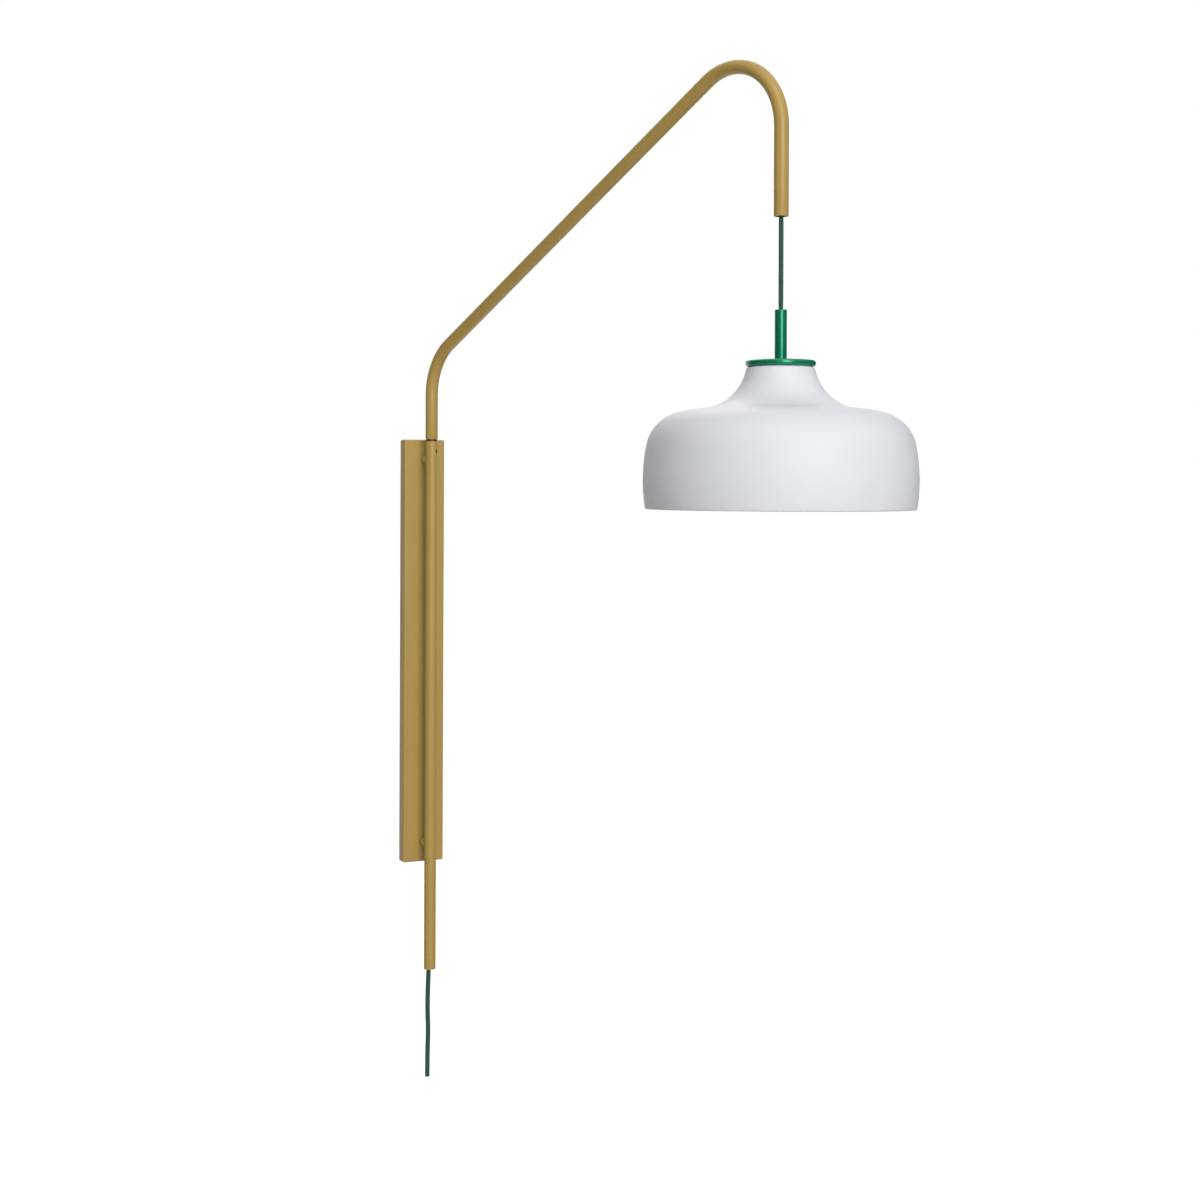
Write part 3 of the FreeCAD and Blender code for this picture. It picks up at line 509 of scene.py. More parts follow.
def braid_tree():
    """Flat yarn bundles plaited round the given line, half of them winding each way."""
    tree, given = geometry_tree("braided_sleeve", [
        ("Radius", "NodeSocketFloat", 0.0023), ("Lay", "NodeSocketFloat", 0.017),
        ("Bundles Each Way", "NodeSocketInt", 8), ("Bundle Width", "NodeSocketFloat", 0.0011),
        ("Bundle Thickness", "NodeSocketFloat", 0.0004), ("Lift", "NodeSocketFloat", 0.00014),
        ("Step", "NodeSocketFloat", 0.0004), ("Squeeze", "NodeSocketFloat", 0.86),
        ("First Grip", "NodeSocketFloat", 0.008), ("Last Grip", "NodeSocketFloat", 0.008),
        ("Material", "NodeSocketMaterial", None)])

    # What every bundle needs to know of the line is stored on its points, before there are copies of it.
    line = add(tree, "GeometryNodeMeshToCurve", {0: given["Geometry"]})
    store = add(tree, "GeometryNodeResampleCurve", {"Curve": line, "Length": given["Step"]}, mode="LENGTH")
    run = add(tree, "GeometryNodeSplineParameter").outputs["Length"]
    whole = add(tree, "GeometryNodeSplineLength").outputs["Length"]
    left = add(tree, "ShaderNodeMath", {0: whole, 1: run}, operation="SUBTRACT")
    # Where a bush or a grip holds the cord, it squeezes the braid into the sheath.
    first_hold = add(tree, "ShaderNodeMapRange",
                     {"Value": run, "From Max": given["First Grip"], "To Min": given["Squeeze"]})
    last_hold = add(tree, "ShaderNodeMapRange",
                    {"Value": left, "From Max": given["Last Grip"], "To Min": given["Squeeze"]})
    full = add(tree, "ShaderNodeMath", {0: first_hold, 1: last_hold}, operation="MINIMUM")
    kept = []
    for label, field, kind in (("way", add(tree, "GeometryNodeInputTangent"), "FLOAT_VECTOR"),
                               ("side", add(tree, "GeometryNodeInputNormal"), "FLOAT_VECTOR"),
                               ("run", run, "FLOAT"), ("full", full, "FLOAT")):
        store = add(tree, "GeometryNodeStoreNamedAttribute",
                    {"Geometry": store, "Name": label, "Value": field}, data_type=kind, domain="POINT")
        kept.append(add(tree, "GeometryNodeInputNamedAttribute", {"Name": label}, data_type=kind))
    way, side, length, fullness = kept

    # Even copies wind one way and odd ones the other, spread evenly round the line.
    bundles = add(tree, "ShaderNodeMath", {0: given["Bundles Each Way"], 1: 2.0}, operation="MULTIPLY")
    copies = add(tree, "GeometryNodeDuplicateElements",
                 {"Geometry": store, "Amount": bundles}, domain="SPLINE")
    number = copies.outputs["Duplicate Index"]
    odd = add(tree, "ShaderNodeMath", {0: number, 1: 2.0}, operation="MODULO")
    sign = add(tree, "ShaderNodeMath", {0: odd, 1: 2.0, 2: -1.0}, operation="MULTIPLY_ADD")
    half = add(tree, "ShaderNodeMath", {0: number, 1: 0.5}, operation="MULTIPLY")
    pair = add(tree, "ShaderNodeMath", {0: half}, operation="FLOOR")
    share = add(tree, "ShaderNodeMath", {0: pair, 1: given["Bundles Each Way"]}, operation="DIVIDE")
    start = add(tree, "ShaderNodeMath", {0: share, 1: math.tau}, operation="MULTIPLY")
    turns = add(tree, "ShaderNodeMath", {0: length, 1: given["Lay"]}, operation="DIVIDE")
    wound = add(tree, "ShaderNodeMath", {0: turns, 1: math.tau}, operation="MULTIPLY")
    signed = add(tree, "ShaderNodeMath", {0: wound, 1: sign}, operation="MULTIPLY")
    angle = add(tree, "ShaderNodeMath", {0: start, 1: signed}, operation="ADD")
    across = add(tree, "ShaderNodeVectorMath", {0: way, 1: side}, operation="CROSS_PRODUCT")
    cosine = add(tree, "ShaderNodeMath", {0: angle}, operation="COSINE")
    sine = add(tree, "ShaderNodeMath", {0: angle}, operation="SINE")
    aside = add(tree, "ShaderNodeVectorMath", {0: side, "Scale": cosine}, operation="SCALE")
    over = add(tree, "ShaderNodeVectorMath", {0: across, "Scale": sine}, operation="SCALE")
    outward = add(tree, "ShaderNodeVectorMath", {0: aside, 1: over}, operation="ADD")

    # Every bundle passes over and under the others in turn, so its height is a wave along the cord.
    beat = add(tree, "ShaderNodeMath", {0: wound, 1: given["Bundles Each Way"]}, operation="MULTIPLY")
    wave = add(tree, "ShaderNodeMath", {0: beat}, operation="COSINE")
    swing = add(tree, "ShaderNodeMath", {0: wave, 1: sign}, operation="MULTIPLY")
    height = add(tree, "ShaderNodeMath", {0: swing, 1: given["Lift"], 2: given["Radius"]},
                 operation="MULTIPLY_ADD")
    held = add(tree, "ShaderNodeMath", {0: height, 1: fullness}, operation="MULTIPLY")
    offset = add(tree, "ShaderNodeVectorMath", {0: outward, "Scale": held}, operation="SCALE")
    marked = add(tree, "GeometryNodeStoreNamedAttribute",
                 {"Geometry": copies, "Name": "outward", "Value": outward},
                 data_type="FLOAT_VECTOR", domain="POINT")
    moved = add(tree, "GeometryNodeSetPosition", {"Geometry": marked, "Offset": offset})

    # A flat section, lying on the sheath.
    facing = add(tree, "GeometryNodeInputNamedAttribute", {"Name": "outward"}, data_type="FLOAT_VECTOR")
    lying = add(tree, "GeometryNodeSetCurveNormal", {"Curve": moved, "Normal": facing}, mode="FREE")
    circle = add(tree, "GeometryNodeCurvePrimitiveCircle", {"Resolution": 8, "Radius": 0.5})
    section_size = add(tree, "ShaderNodeCombineXYZ",
                       {0: given["Bundle Thickness"], 1: given["Bundle Width"], 2: 1.0})
    section = add(tree, "GeometryNodeTransform", {"Geometry": circle, "Scale": section_size})
    bundle = add(tree, "GeometryNodeCurveToMesh",
                 {"Curve": lying, "Profile Curve": section, "Fill Caps": True})
    return close_tree(tree, bundle.outputs[0], given["Material"])


def thread_tree():
    """Presses a rolled thread into the vertices that carry the attribute named thread."""
    tree, given = geometry_tree("rolled_thread", [
        ("Axis", "NodeSocketVector", (0, 0, 0)), ("Pitch", "NodeSocketFloat", 0.0036),
        ("Depth", "NodeSocketFloat", 0.0007), ("Material", "NodeSocketMaterial", None)])
    at = add(tree, "GeometryNodeInputPosition")
    local = add(tree, "ShaderNodeVectorMath", {0: at, 1: given["Axis"]}, operation="SUBTRACT")
    parts = add(tree, "ShaderNodeSeparateXYZ", {0: local})
    angle = add(tree, "ShaderNodeMath", {0: parts.outputs[1], 1: parts}, operation="ARCTAN2")
    turns = add(tree, "ShaderNodeMath", {0: parts.outputs[2], 1: given["Pitch"]}, operation="DIVIDE")
    rise = add(tree, "ShaderNodeMath", {0: turns, 1: -math.tau, 2: angle}, operation="MULTIPLY_ADD")
    wave = add(tree, "ShaderNodeMath", {0: rise}, operation="COSINE")
    deep = add(tree, "ShaderNodeMath", {0: wave, 1: given["Depth"]}, operation="MULTIPLY")
    half = add(tree, "ShaderNodeMath", {0: deep, 1: 0.5}, operation="MULTIPLY")
    share = add(tree, "GeometryNodeInputNamedAttribute", {"Name": "thread"}, data_type="FLOAT")
    amount = add(tree, "ShaderNodeMath", {0: half, 1: share}, operation="MULTIPLY")
    flat = add(tree, "ShaderNodeCombineXYZ", {0: parts, 1: parts.outputs[1]})
    outward = add(tree, "ShaderNodeVectorMath", {0: flat}, operation="NORMALIZE")
    offset = add(tree, "ShaderNodeVectorMath", {0: outward, "Scale": amount}, operation="SCALE")
    pressed = add(tree, "GeometryNodeSetPosition", {"Geometry": given["Geometry"], "Offset": offset})
    return close_tree(tree, pressed.outputs[0], given["Material"])


# ---- Settings ---------------------------------------------------------------------------------
def length_setting(name, description, default):
    return FloatProperty(name=name, description=description, default=default, min=0.0, unit="LENGTH",
                         precision=4, step=0.1)


def angle_setting(name, description, default):
    return FloatProperty(name=name, description=description, default=math.radians(default), subtype="ANGLE")


def amount_setting(name, description, default):
    return FloatProperty(name=name, description=description, default=default, min=0.0)


def colour_setting(name, description, code):
    return FloatVectorProperty(name=name, description=description, default=linear(code)[:3], min=0.0, max=1.0,
                               subtype="COLOR", size=3)


class PaintSettings(bpy.types.PropertyGroup):
    ochre_dark: colour_setting("Ochre, darker", "Darker tone of the powder coat", "AF9049")
    ochre_light: colour_setting("Ochre, lighter", "Lighter tone of the powder coat", "B79851")
    green_dark: colour_setting("Green, darker", "Darker tone of the enamel", "0F7E59")
    green_light: colour_setting("Green, lighter", "Lighter tone of the enamel", "168A63")
    opal_dark: colour_setting("Opal, darker", "Body colour of the opal glass", "DADDE2")
    opal_light: colour_setting("Opal, lighter", "Colour of the glass's milky clouds", "E0E3E7")
    yarn_dark: colour_setting("Yarn, darker", "Darker picks of the braid", "184138")
    yarn_light: colour_setting("Yarn, lighter", "Lighter picks of the braid", "275D4E")


class ArmSettings(bpy.types.PropertyGroup):
    foot: length_setting("Foot", "Upright length above the swivel", 0.0625)
    bend_radius: length_setting("Bend radius", "Radius of both bends on the tube's axis", 0.080)
    lower_bend: angle_setting("Lower bend", "Turn of the lower bend", 60)
    upper_bend: angle_setting("Upper bend", "Turn of the upper bend", 120)
    slope: length_setting("Slope", "Straight length between the bends", 0.580)
    end: length_setting("End", "Straight length down to the open end", 0.104)
    diameter: length_setting("Diameter", "Outside diameter of the tube", 0.0172)
    wall: length_setting("Wall", "Wall thickness of the tube", 0.00175)
    edge: length_setting("Edge", "Rounding of the sawn ends", 0.0004)


class CordSettings(bpy.types.PropertyGroup):
    lamp_diameter: length_setting("Pendant diameter", "Diameter of the pendant cord", 0.005)
    mains_diameter: length_setting("Lead diameter", "Diameter of the mains lead", 0.006)
    bundles: IntProperty(name="Bundles", description="Yarn bundles that wind each way", default=8, min=3)
    bundle_thickness: length_setting("Bundle thickness", "Thickness of one flat yarn bundle", 0.00042)
    lift: length_setting("Lift", "How far a bundle rises and dips at a crossing", 0.00013)


class ShadeSettings(bpy.types.PropertyGroup):
    wall: length_setting("Wall", "Thickness of the glass", 0.0035)
    height: length_setting("Height", "Height of the glass", 0.1645)
    neck_diameter: length_setting("Neck", "Width of the flat top", 0.071)
    hole_diameter: length_setting("Hole", "Hole in the flat top", 0.030)
    stem_diameter: length_setting("Stem", "Diameter of the stem above the cap", 0.014)
    stem_bore: length_setting("Stem bore", "Hole through the stem and the cap", 0.0102)
    cap_diameter: length_setting("Cap", "Diameter of the cap above the glass", 0.081)
    cap_recess: length_setting("Cap recess", "Diameter of the cap's hollow underside", 0.073)
    cap_recess_depth: length_setting("Cap recess depth", "Depth of the cap's hollow underside", 0.002)
    cap_edge: length_setting("Cap edge", "Rounding of the cap's rim", 0.0029)


class StageSettings(bpy.types.PropertyGroup):
    floor_drop: length_setting("Floor drop", "Floor below the middle of the wall plate", 1.45)
    floor_glow: amount_setting("Floor glow", "Light that the floor adds where it is seen", 0.85)
    lens: FloatProperty(name="Lens", description="Focal length on a 36 mm sensor", default=57.0, min=1.0,
                        unit="CAMERA")
    ambient: amount_setting("Ambient", "Light from all round", 0.38)
    key: amount_setting("Key light", "Strength of the tall front light in watts", 292.0)
    top: amount_setting("Top light", "Strength of the light above the camera in watts", 40.0)
    back: amount_setting("Back light", "Strength of the light above and behind in watts", 36.0)


class LampSettings(bpy.types.PropertyGroup):
    paint: PointerProperty(type=PaintSettings)
    arm: PointerProperty(type=ArmSettings)
    cord: PointerProperty(type=CordSettings)
    shade: PointerProperty(type=ShadeSettings)
    stage: PointerProperty(type=StageSettings)


# ---- Operators --------------------------------------------------------------------------------
class LAMP_OT_stage(bpy.types.Operator):
    """Sets up the camera, the lights, the pale surroundings and the floor"""

    bl_idname = "wall_lamp.stage"
    bl_label = "Stage"

    def execute(self, context):
        settings = context.scene.wall_lamp.stage
        scene = context.scene
        scene.view_settings.view_transform = "Standard"
        camera = bpy.data.cameras.new("camera")
        camera.lens = settings.lens
        camera.sensor_width = 36.0
        camera.shift_y = CAMERA_SHIFT
        camera.clip_start = 0.05
        camera.clip_end = 60.0
        stand = placed("camera", camera)
        stand.location = CAMERA_PLACE
        level = Matrix.Rotation(math.radians(CAMERA_TURN), 3, "Z") @ Matrix.Rotation(math.radians(90), 3, "X")
        stand.rotation_euler = (level @ Matrix.Rotation(math.radians(CAMERA_ROLL), 3, "Z")).to_euler()
        scene.camera = stand
        self.surroundings(scene, settings)
        self.floor(settings)
        self.curtain()
        self.lamp("key_light", (-0.85, -7.2, 1.9), settings.key, 2.9, 4.4)
        self.lamp("top_light", (-0.6, -3.2, 4.2), settings.top, 1.6, 1.6)
        self.lamp("back_light", (1.3, 2.6, 3.0), settings.back, 2.0, 2.0)
        return {"FINISHED"}

    def seen(self, tree):
        """A node that is 1 for rays from the camera and from a reflection, and the tests for all rays."""
        rays = add(tree, "ShaderNodeLightPath").outputs
        seen = add(tree, "ShaderNodeMath", {0: rays["Is Camera Ray"], 1: rays["Is Glossy Ray"]},
                   operation="MAXIMUM")
        return seen, rays

    def surroundings(self, scene, settings):
        """White where it is seen, directly or in a reflection, and a softer light on everything else."""
        world = bpy.data.worlds.new("studio")
        scene.world = world
        tree = cleared(world)
        seen, rays = self.seen(tree)
        seen = add(tree, "ShaderNodeMath", {0: seen, 1: rays["Is Transmission Ray"]}, operation="MAXIMUM")
        strength = add(tree, "ShaderNodeMapRange",
                       {"Value": seen, "To Min": settings.ambient, "To Max": 1.0})
        light = add(tree, "ShaderNodeBackground", {"Color": (1, 1, 1, 1), "Strength": strength})
        add(tree, "ShaderNodeOutputWorld", {0: light})

    def floor(self, settings):
        """Pale floor, white where it is seen but for the lamp's shadow, and clear from below."""
        reach, z = 30.0, -settings.floor_drop
        mesh = bpy.data.meshes.new("floor")
        mesh.from_pydata([(-reach, -reach, z), (reach, -reach, z), (reach, reach, z), (-reach, reach, z)], [],
                         [(0, 1, 2, 3)])
        floor = placed("floor", mesh)
        material = bpy.data.materials.new("pale_floor")
        tree = cleared(material)
        seen, _ = self.seen(tree)
        matt = add(tree, "ShaderNodeBsdfDiffuse", {"Color": (0.6, 0.6, 0.6, 1)})
        glow = add(tree, "ShaderNodeEmission", {"Color": (1, 1, 1, 1), "Strength": settings.floor_glow})
        bright = add(tree, "ShaderNodeAddShader", {0: matt, 1: glow})
        above = add(tree, "ShaderNodeMixShader", {0: seen, 1: matt, 2: bright})
        clear = add(tree, "ShaderNodeBsdfTransparent")
        below = add(tree, "ShaderNodeNewGeometry").outputs["Backfacing"]
        whole = add(tree, "ShaderNodeMixShader", {0: below, 1: above, 2: clear})
        add(tree, "ShaderNodeOutputMaterial", {0: whole})
        mesh.materials.append(material)

    def curtain(self):
        """Dark cloth hung round the set and laid under it, open behind the lamp, for reflections only."""
        centre = SHADE * 0.5
        radius, low, high = 9.0, -1.4, 6.0
        opening_left, opening_right = 48.0, 26.0      # degrees, to each side of the way the camera looks
        start = 90 + CAMERA_TURN + opening_left
        sweep = 360 - opening_left - opening_right
        steps = 60
        corners, faces = [], []
        for i in range(steps + 1):
            a = math.radians(start + sweep * i / steps)
            x, y = centre.x + radius * math.cos(a), centre.y + radius * math.sin(a)
            corners += [(x, y, low), (x, y, high)]
        corners.append((centre.x, centre.y, low))
        for i in range(steps):
            faces.append((2 * i, 2 * i + 1, 2 * i + 3, 2 * i + 2))
            faces.append((2 * i, 2 * i + 2, len(corners) - 1))
        mesh = bpy.data.meshes.new("dark_curtain")
        mesh.from_pydata(corners, [], faces)
        cloth = placed("dark_curtain", mesh)
        material = bpy.data.materials.new("dark_cloth")
        tree = cleared(material)
        matt = add(tree, "ShaderNodeBsdfDiffuse", {"Color": linear("303030")})
        add(tree, "ShaderNodeOutputMaterial", {"Surface": matt})
        mesh.materials.append(material)
        cloth.visible_camera = False
        cloth.visible_diffuse = False
        cloth.visible_transmission = False
        cloth.visible_shadow = False

    def lamp(self, name, place, power, width, height):
        """A soft box of width by height metres, aimed at the middle of the lamp."""
        target = SHADE * 0.5 + Vector((0, 0, 0.3))
        light = bpy.data.lights.new(name, "AREA")
        light.shape = "RECTANGLE"
        light.size = width
        light.size_y = height
        light.energy = power
        stand = placed(name, light)
        stand.visible_camera = False
        stand.location = place
        stand.rotation_euler = (target - Vector(place)).to_track_quat("-Z", "Y").to_euler()


class LAMP_OT_finishes(bpy.types.Operator):
    """Makes the procedural finish of every material slot"""

    bl_idname = "wall_lamp.finishes"
    bl_label = "Finishes"

    def execute(self, context):
        make_finishes(context.scene.wall_lamp.paint)
        return {"FINISHED"}


BRAID_LAY = 3.2        # length of one turn of a bundle, in diameters of its cord
BRAID_COVER = 0.7      # width of a bundle, as a share of its place round the cord
BRAID_STEPS = 6        # steps in which a bundle rises and dips once

# The lead's way down from the pole's lower end, as (aside, across, down) in millimetres from the pole's axis,
# where aside is LEAD_SIDE degrees round from the frame's x.
LEAD_SIDE = 155.0
LEAD_ROUTE = ((1.5, 0.0, 0.0), (2.5, 0.0, -26.0), (2.9, 0.8, -57.0), (1.6, 1.7, -88.0), (2.8, 1.1, -119.0),
              (2.7, 1.9, -151.0))


class LAMP_OT_cords(bpy.types.Operator):
    """Lays the pendant cord and the mains lead, each a sheath inside a braided sleeve"""

    bl_idname = "wall_lamp.cords"
    bl_label = "Cords"

    def execute(self, context):
        settings = context.scene.wall_lamp.cord
        tree = braid_tree()
        low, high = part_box("pendant_cord")
        r = settings.lamp_diameter / 2
        top, bottom = high.z - r, low.z + r
        route = [on_axis("stem_tube", top + (bottom - top) * share) for share in (0.0, 0.33, 0.67, 1.0)]
        sheath = self.sheath("pendant_cord_sheath", route, settings.lamp_diameter, "pendant_cord")
        held = 0.012           # metres of braid in the bush above, and as much in the grip below
        sleeve = self.sleeve("pendant_cord_braid", sheath, settings.lamp_diameter, settings, tree,
                             "pendant_cord", (held, held))
        route = [self.lead_point(*point) for point in LEAD_ROUTE]
        sheath = self.sheath("mains_cord_sheath", route, settings.mains_diameter, "mains_cord")
        held, free = 0.006, 0.00001      # metres of braid in the pole's bush, and next to none at the cut end
        sleeve = self.sleeve("mains_cord_braid", sheath, settings.mains_diameter, settings, tree,
                             "mains_cord", (held, free))
        return {"FINISHED"}

    def lead_point(self, aside, across, down):
        """Point of the frame for one of the lead's route."""
        a = math.radians(LEAD_SIDE)
        shift = Vector((aside * math.cos(a) - across * math.sin(a),
                        aside * math.sin(a) + across * math.cos(a), 0))
        return on_axis("pole_tube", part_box("pole_tube")[0].z + down * MM) + shift * MM

    def sheath(self, name, route, diameter, node):
        """A cord's inner sheath: a round curve along its route."""
        curve = bpy.data.curves.new(name, "CURVE")
        curve.dimensions = "3D"
        curve.bevel_depth = diameter / 2
        curve.bevel_resolution = 8
        curve.use_fill_caps = True
        curve.resolution_u = 24
        line = curve.splines.new("NURBS")
        line.points.add(len(route) - 1)
        for point, place in zip(line.points, route):
            point.co = (*place, 1.0)
        line.order_u = 3
        line.use_endpoint_u = True
        return finished(placed(name, curve), node, finish="inner_sheath")

    def sleeve(self, name, sheath, diameter, settings, tree, node, grips):
        """The braid on a sheath, squeezed over the length of each grip."""
        line = sheath.copy()
        line.data = sheath.data.copy()
        line.data.bevel_depth = 0.0
        line.data.use_fill_caps = False
        bpy.context.scene.collection.objects.link(line)
        mesh = bpy.data.meshes.new_from_object(line.evaluated_get(bpy.context.evaluated_depsgraph_get()))
        bpy.data.objects.remove(line)
        source = placed(name, mesh)
        width = math.pi * diameter / settings.bundles * BRAID_COVER
        piece = grown(source, tree, {
            "Radius": diameter / 2 + settings.bundle_thickness / 8, "Lay": diameter * BRAID_LAY,
            "Bundles Each Way": settings.bundles, "Bundle Width": width,
            "Bundle Thickness": settings.bundle_thickness, "Lift": settings.lift,
            "Step": diameter * BRAID_LAY / settings.bundles / BRAID_STEPS,
            "First Grip": grips[0], "Last Grip": grips[1], "Material": MADE["green_textile_cord"]}, name)
        return finished(piece, node)


class LAMP_OT_base(bpy.types.Operator):
    """Dresses the wall plate, rail, pole, standoffs, bushes and what is inside the pole"""

    bl_idname = "wall_lamp.base"
    bl_label = "Base"

    def execute(self, context):
        for node in ("wall_plate", "wall_rail", "standoff_upper", "standoff_lower", "pole_tube",
                     "pole_end_bush", "swivel_bush_lower", "splice_connector", "mains_lead_stop"):
            copied(node)
        # The upper bush's flange is drawn dark brown in place of its black nylon: painted shade of the gap
        # between arm and pole.
        copied("swivel_bush_upper", finish="umber_nylon")
        return {"FINISHED"}


# Fasteners, as (radius, height) outlines in millimetres, and the two stations that carry a screw's hexagon.
FASTENERS = {
    "cover_screw": ([(0, -8), (1.75, -8), (2, -7.6), (2, -1.75), (3.75, 0), (1.35, 0), (1.2, -0.15),
                     (1.2, -1.5), (0, -1.5)], (6, 7)),
    "socket_screw": ([(0, -14.2), (2.6, -14.2), (3, -13.8), (3, 0), (4.6, 0), (5, 0.4), (5, 4.5), (4.5, 5),
                      (2.3, 5), (2, 4.7), (2, 2.5), (0, 2.5)], (9, 10)),
    "plain_washer": (eased([(3.25, 0, 0.1), (6.5, 0, 0.25), (6.5, 1.2, 0.25), (3.25, 1.2, 0.1)]), ()),
    "grub_screw": ([(0, -2.55), (1.2, -2.55), (2, -1.75), (2, -0.25), (1.75, 0), (1.15, 0), (1.0, -0.15),
                    (1.0, -1.2), (0, -1.2)], (6, 7)),
}


class LAMP_OT_fasteners(bpy.types.Operator):
    """Makes the screws and washers and sets them out in their rows"""

    bl_idname = "wall_lamp.fasteners"
    bl_label = "Fasteners"

    def execute(self, context):
        tree = fastener_tree()
        low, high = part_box("cover_screws")
        centre = middle("cover_screws")
        self.row(tree, "cover_screw", "cover_screws", (centre.x, centre.y, high.z), (0, 0, low.z - high.z),
                 (0, 0, 0), (math.pi, 0, 0))
        level = 0.2715         # metres that the standoffs lie above and below the plate's middle
        head = 0.005           # height of the socket screw's head
        for fastener, node, seat in (
                ("socket_screw", "standoff_screws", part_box("standoff_screws")[1].y - head),
                ("plain_washer", "standoff_washers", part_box("standoff_washers")[0].y)):
            self.row(tree, fastener, node, (0, seat, level), (0, 0, -2 * level), (-math.pi / 2, 0, 0),
                     (0, 0, 0))
        angle = math.radians(35)         # how far round the pole the friction screw sits from its front
        sunk = 0.00825         # metres from the pole's axis to the screw's outer end
        out = Vector((math.sin(angle), -math.cos(angle), 0))
        at = on_axis("pole_tube", middle("friction_screw").z) + out * sunk
        self.row(tree, "grub_screw", "friction_screw", tuple(at), (0, 0, 0), (math.pi / 2, 0, angle),
                 (0, 0, 0), 1, "bronzed_steel")
        return {"FINISHED"}

    def row(self, tree, name, node, start, step, turn, turn_step, count=2, finish="zinc_steel"):
        """Sets out copies of a fastener from start, each a step and a turn step on from the last."""
        outline, hexagons = FASTENERS[name]
        fastener = turned(name, outline, Vector(), sides=48, hexagons=hexagons)
        shade(fastener.data)
        source = placed(node + "_row", bpy.data.meshes.new(node + "_row"))
        piece = grown(source, tree, {
            "Fastener": fastener, "Count": count, "Start": start, "Step": step, "Turn": turn,
            "Turn Step": turn_step, "Material": MADE[finish]}, node + "_row")
        bpy.data.objects.remove(fastener)
        finished(piece, node, finish=finish)


class LAMP_OT_arm(bpy.types.Operator):
    """Bends the arm's tube and dresses the swivel pin and the bush in its open end"""

    bl_idname = "wall_lamp.arm"
    bl_label = "Arm"

    def execute(self, context):
        settings = context.scene.wall_lamp.arm
        tree = tube_tree()
        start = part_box("arm_tube")[0].z
        radius = settings.bend_radius
        steps = [(settings.foot,), (radius, -math.degrees(settings.lower_bend)), (settings.slope,),
                 (radius, -math.degrees(settings.upper_bend)), (settings.end,)]
        path, _ = trace((0.0, start), 90.0, steps, fineness=1.5)
        line = polyline("arm_tube_line", [self.in_plane(p) for p in path])
        tube = grown(line, tree, {"Radius": settings.diameter / 2, "Sides": 72, "Closed Ends": False,
                                  "Material": MADE["ochre_paint"]}, "arm_tube_bent")
        wall = tube.modifiers.new("wall", "SOLIDIFY")
        wall.thickness = settings.wall
        wall.offset = -1.0
        edge = tube.modifiers.new("edge", "BEVEL")
        edge.width = settings.edge
        edge.segments = 2
        edge.limit_method = "ANGLE"
        edge.angle_limit = math.radians(60)
        tube = solid_form(tube)
        finished(tube, "arm_tube", crease=50)
        for node in ("swivel_spigot", "arm_end_bush", "arm_cable_stop"):
            copied(node)
        self.inner_cables(tree, steps, start, context.scene.wall_lamp.cord)
        return {"FINISHED"}

    def in_plane(self, point):
        """From (reach, height) to the frame, in the arm's own plane at rest."""
        return POLE + AHEAD * point[0] + Vector((0, 0, point[1]))

    def inner_cables(self, tree, steps, start, cord):
        """The lengths of cable inside the tubes, each as long as its solid."""
        thin, thick = cord.lamp_diameter / 2, cord.mains_diameter / 2
        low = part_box("arm_cable")[0].z
        short = 0.0068         # metres that the cable stays behind the arm's open end
        first, *bends, last = steps
        steps = [(first[0] + start - low,), *bends, (last[0] - short,)]
        path, _ = trace((0.0, low), 90.0, steps, fineness=3.0)
        self.cable(tree, "arm_cable", [self.in_plane(p) for p in path], thin)
        for node, radius in (("mains_lead", thick), ("stem_cable", thin)):
            self.cable(tree, node, [on_axis(node, corner.z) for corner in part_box(node)], radius)

        # The cable in the pole starts beside its axis and moves over to it in the middle half of its length.
        low, high = (corner.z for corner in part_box("pole_cable"))
        side = on_axis("mains_lead", 0.0)
        route = []
        steps = 40
        for i in range(steps + 1):
            share = i / steps
            ease = min(max((share - 0.25) / 0.5, 0.0), 1.0)
            ease = ease * ease * (3 - 2 * ease)
            place = side.lerp(POLE, ease)
            route.append(Vector((place.x, place.y, low + (high - low) * share)))
        self.cable(tree, "pole_cable", route, thin)

    def cable(self, tree, node, route, radius):
        line = polyline(node + "_line", route)
        piece = grown(line, tree, {"Radius": radius, "Sides": 24, "Closed Ends": True,
                                   "Material": MADE["inner_sheath"]}, node + "_run")
        finished(piece, node, finish="inner_sheath", crease=50)


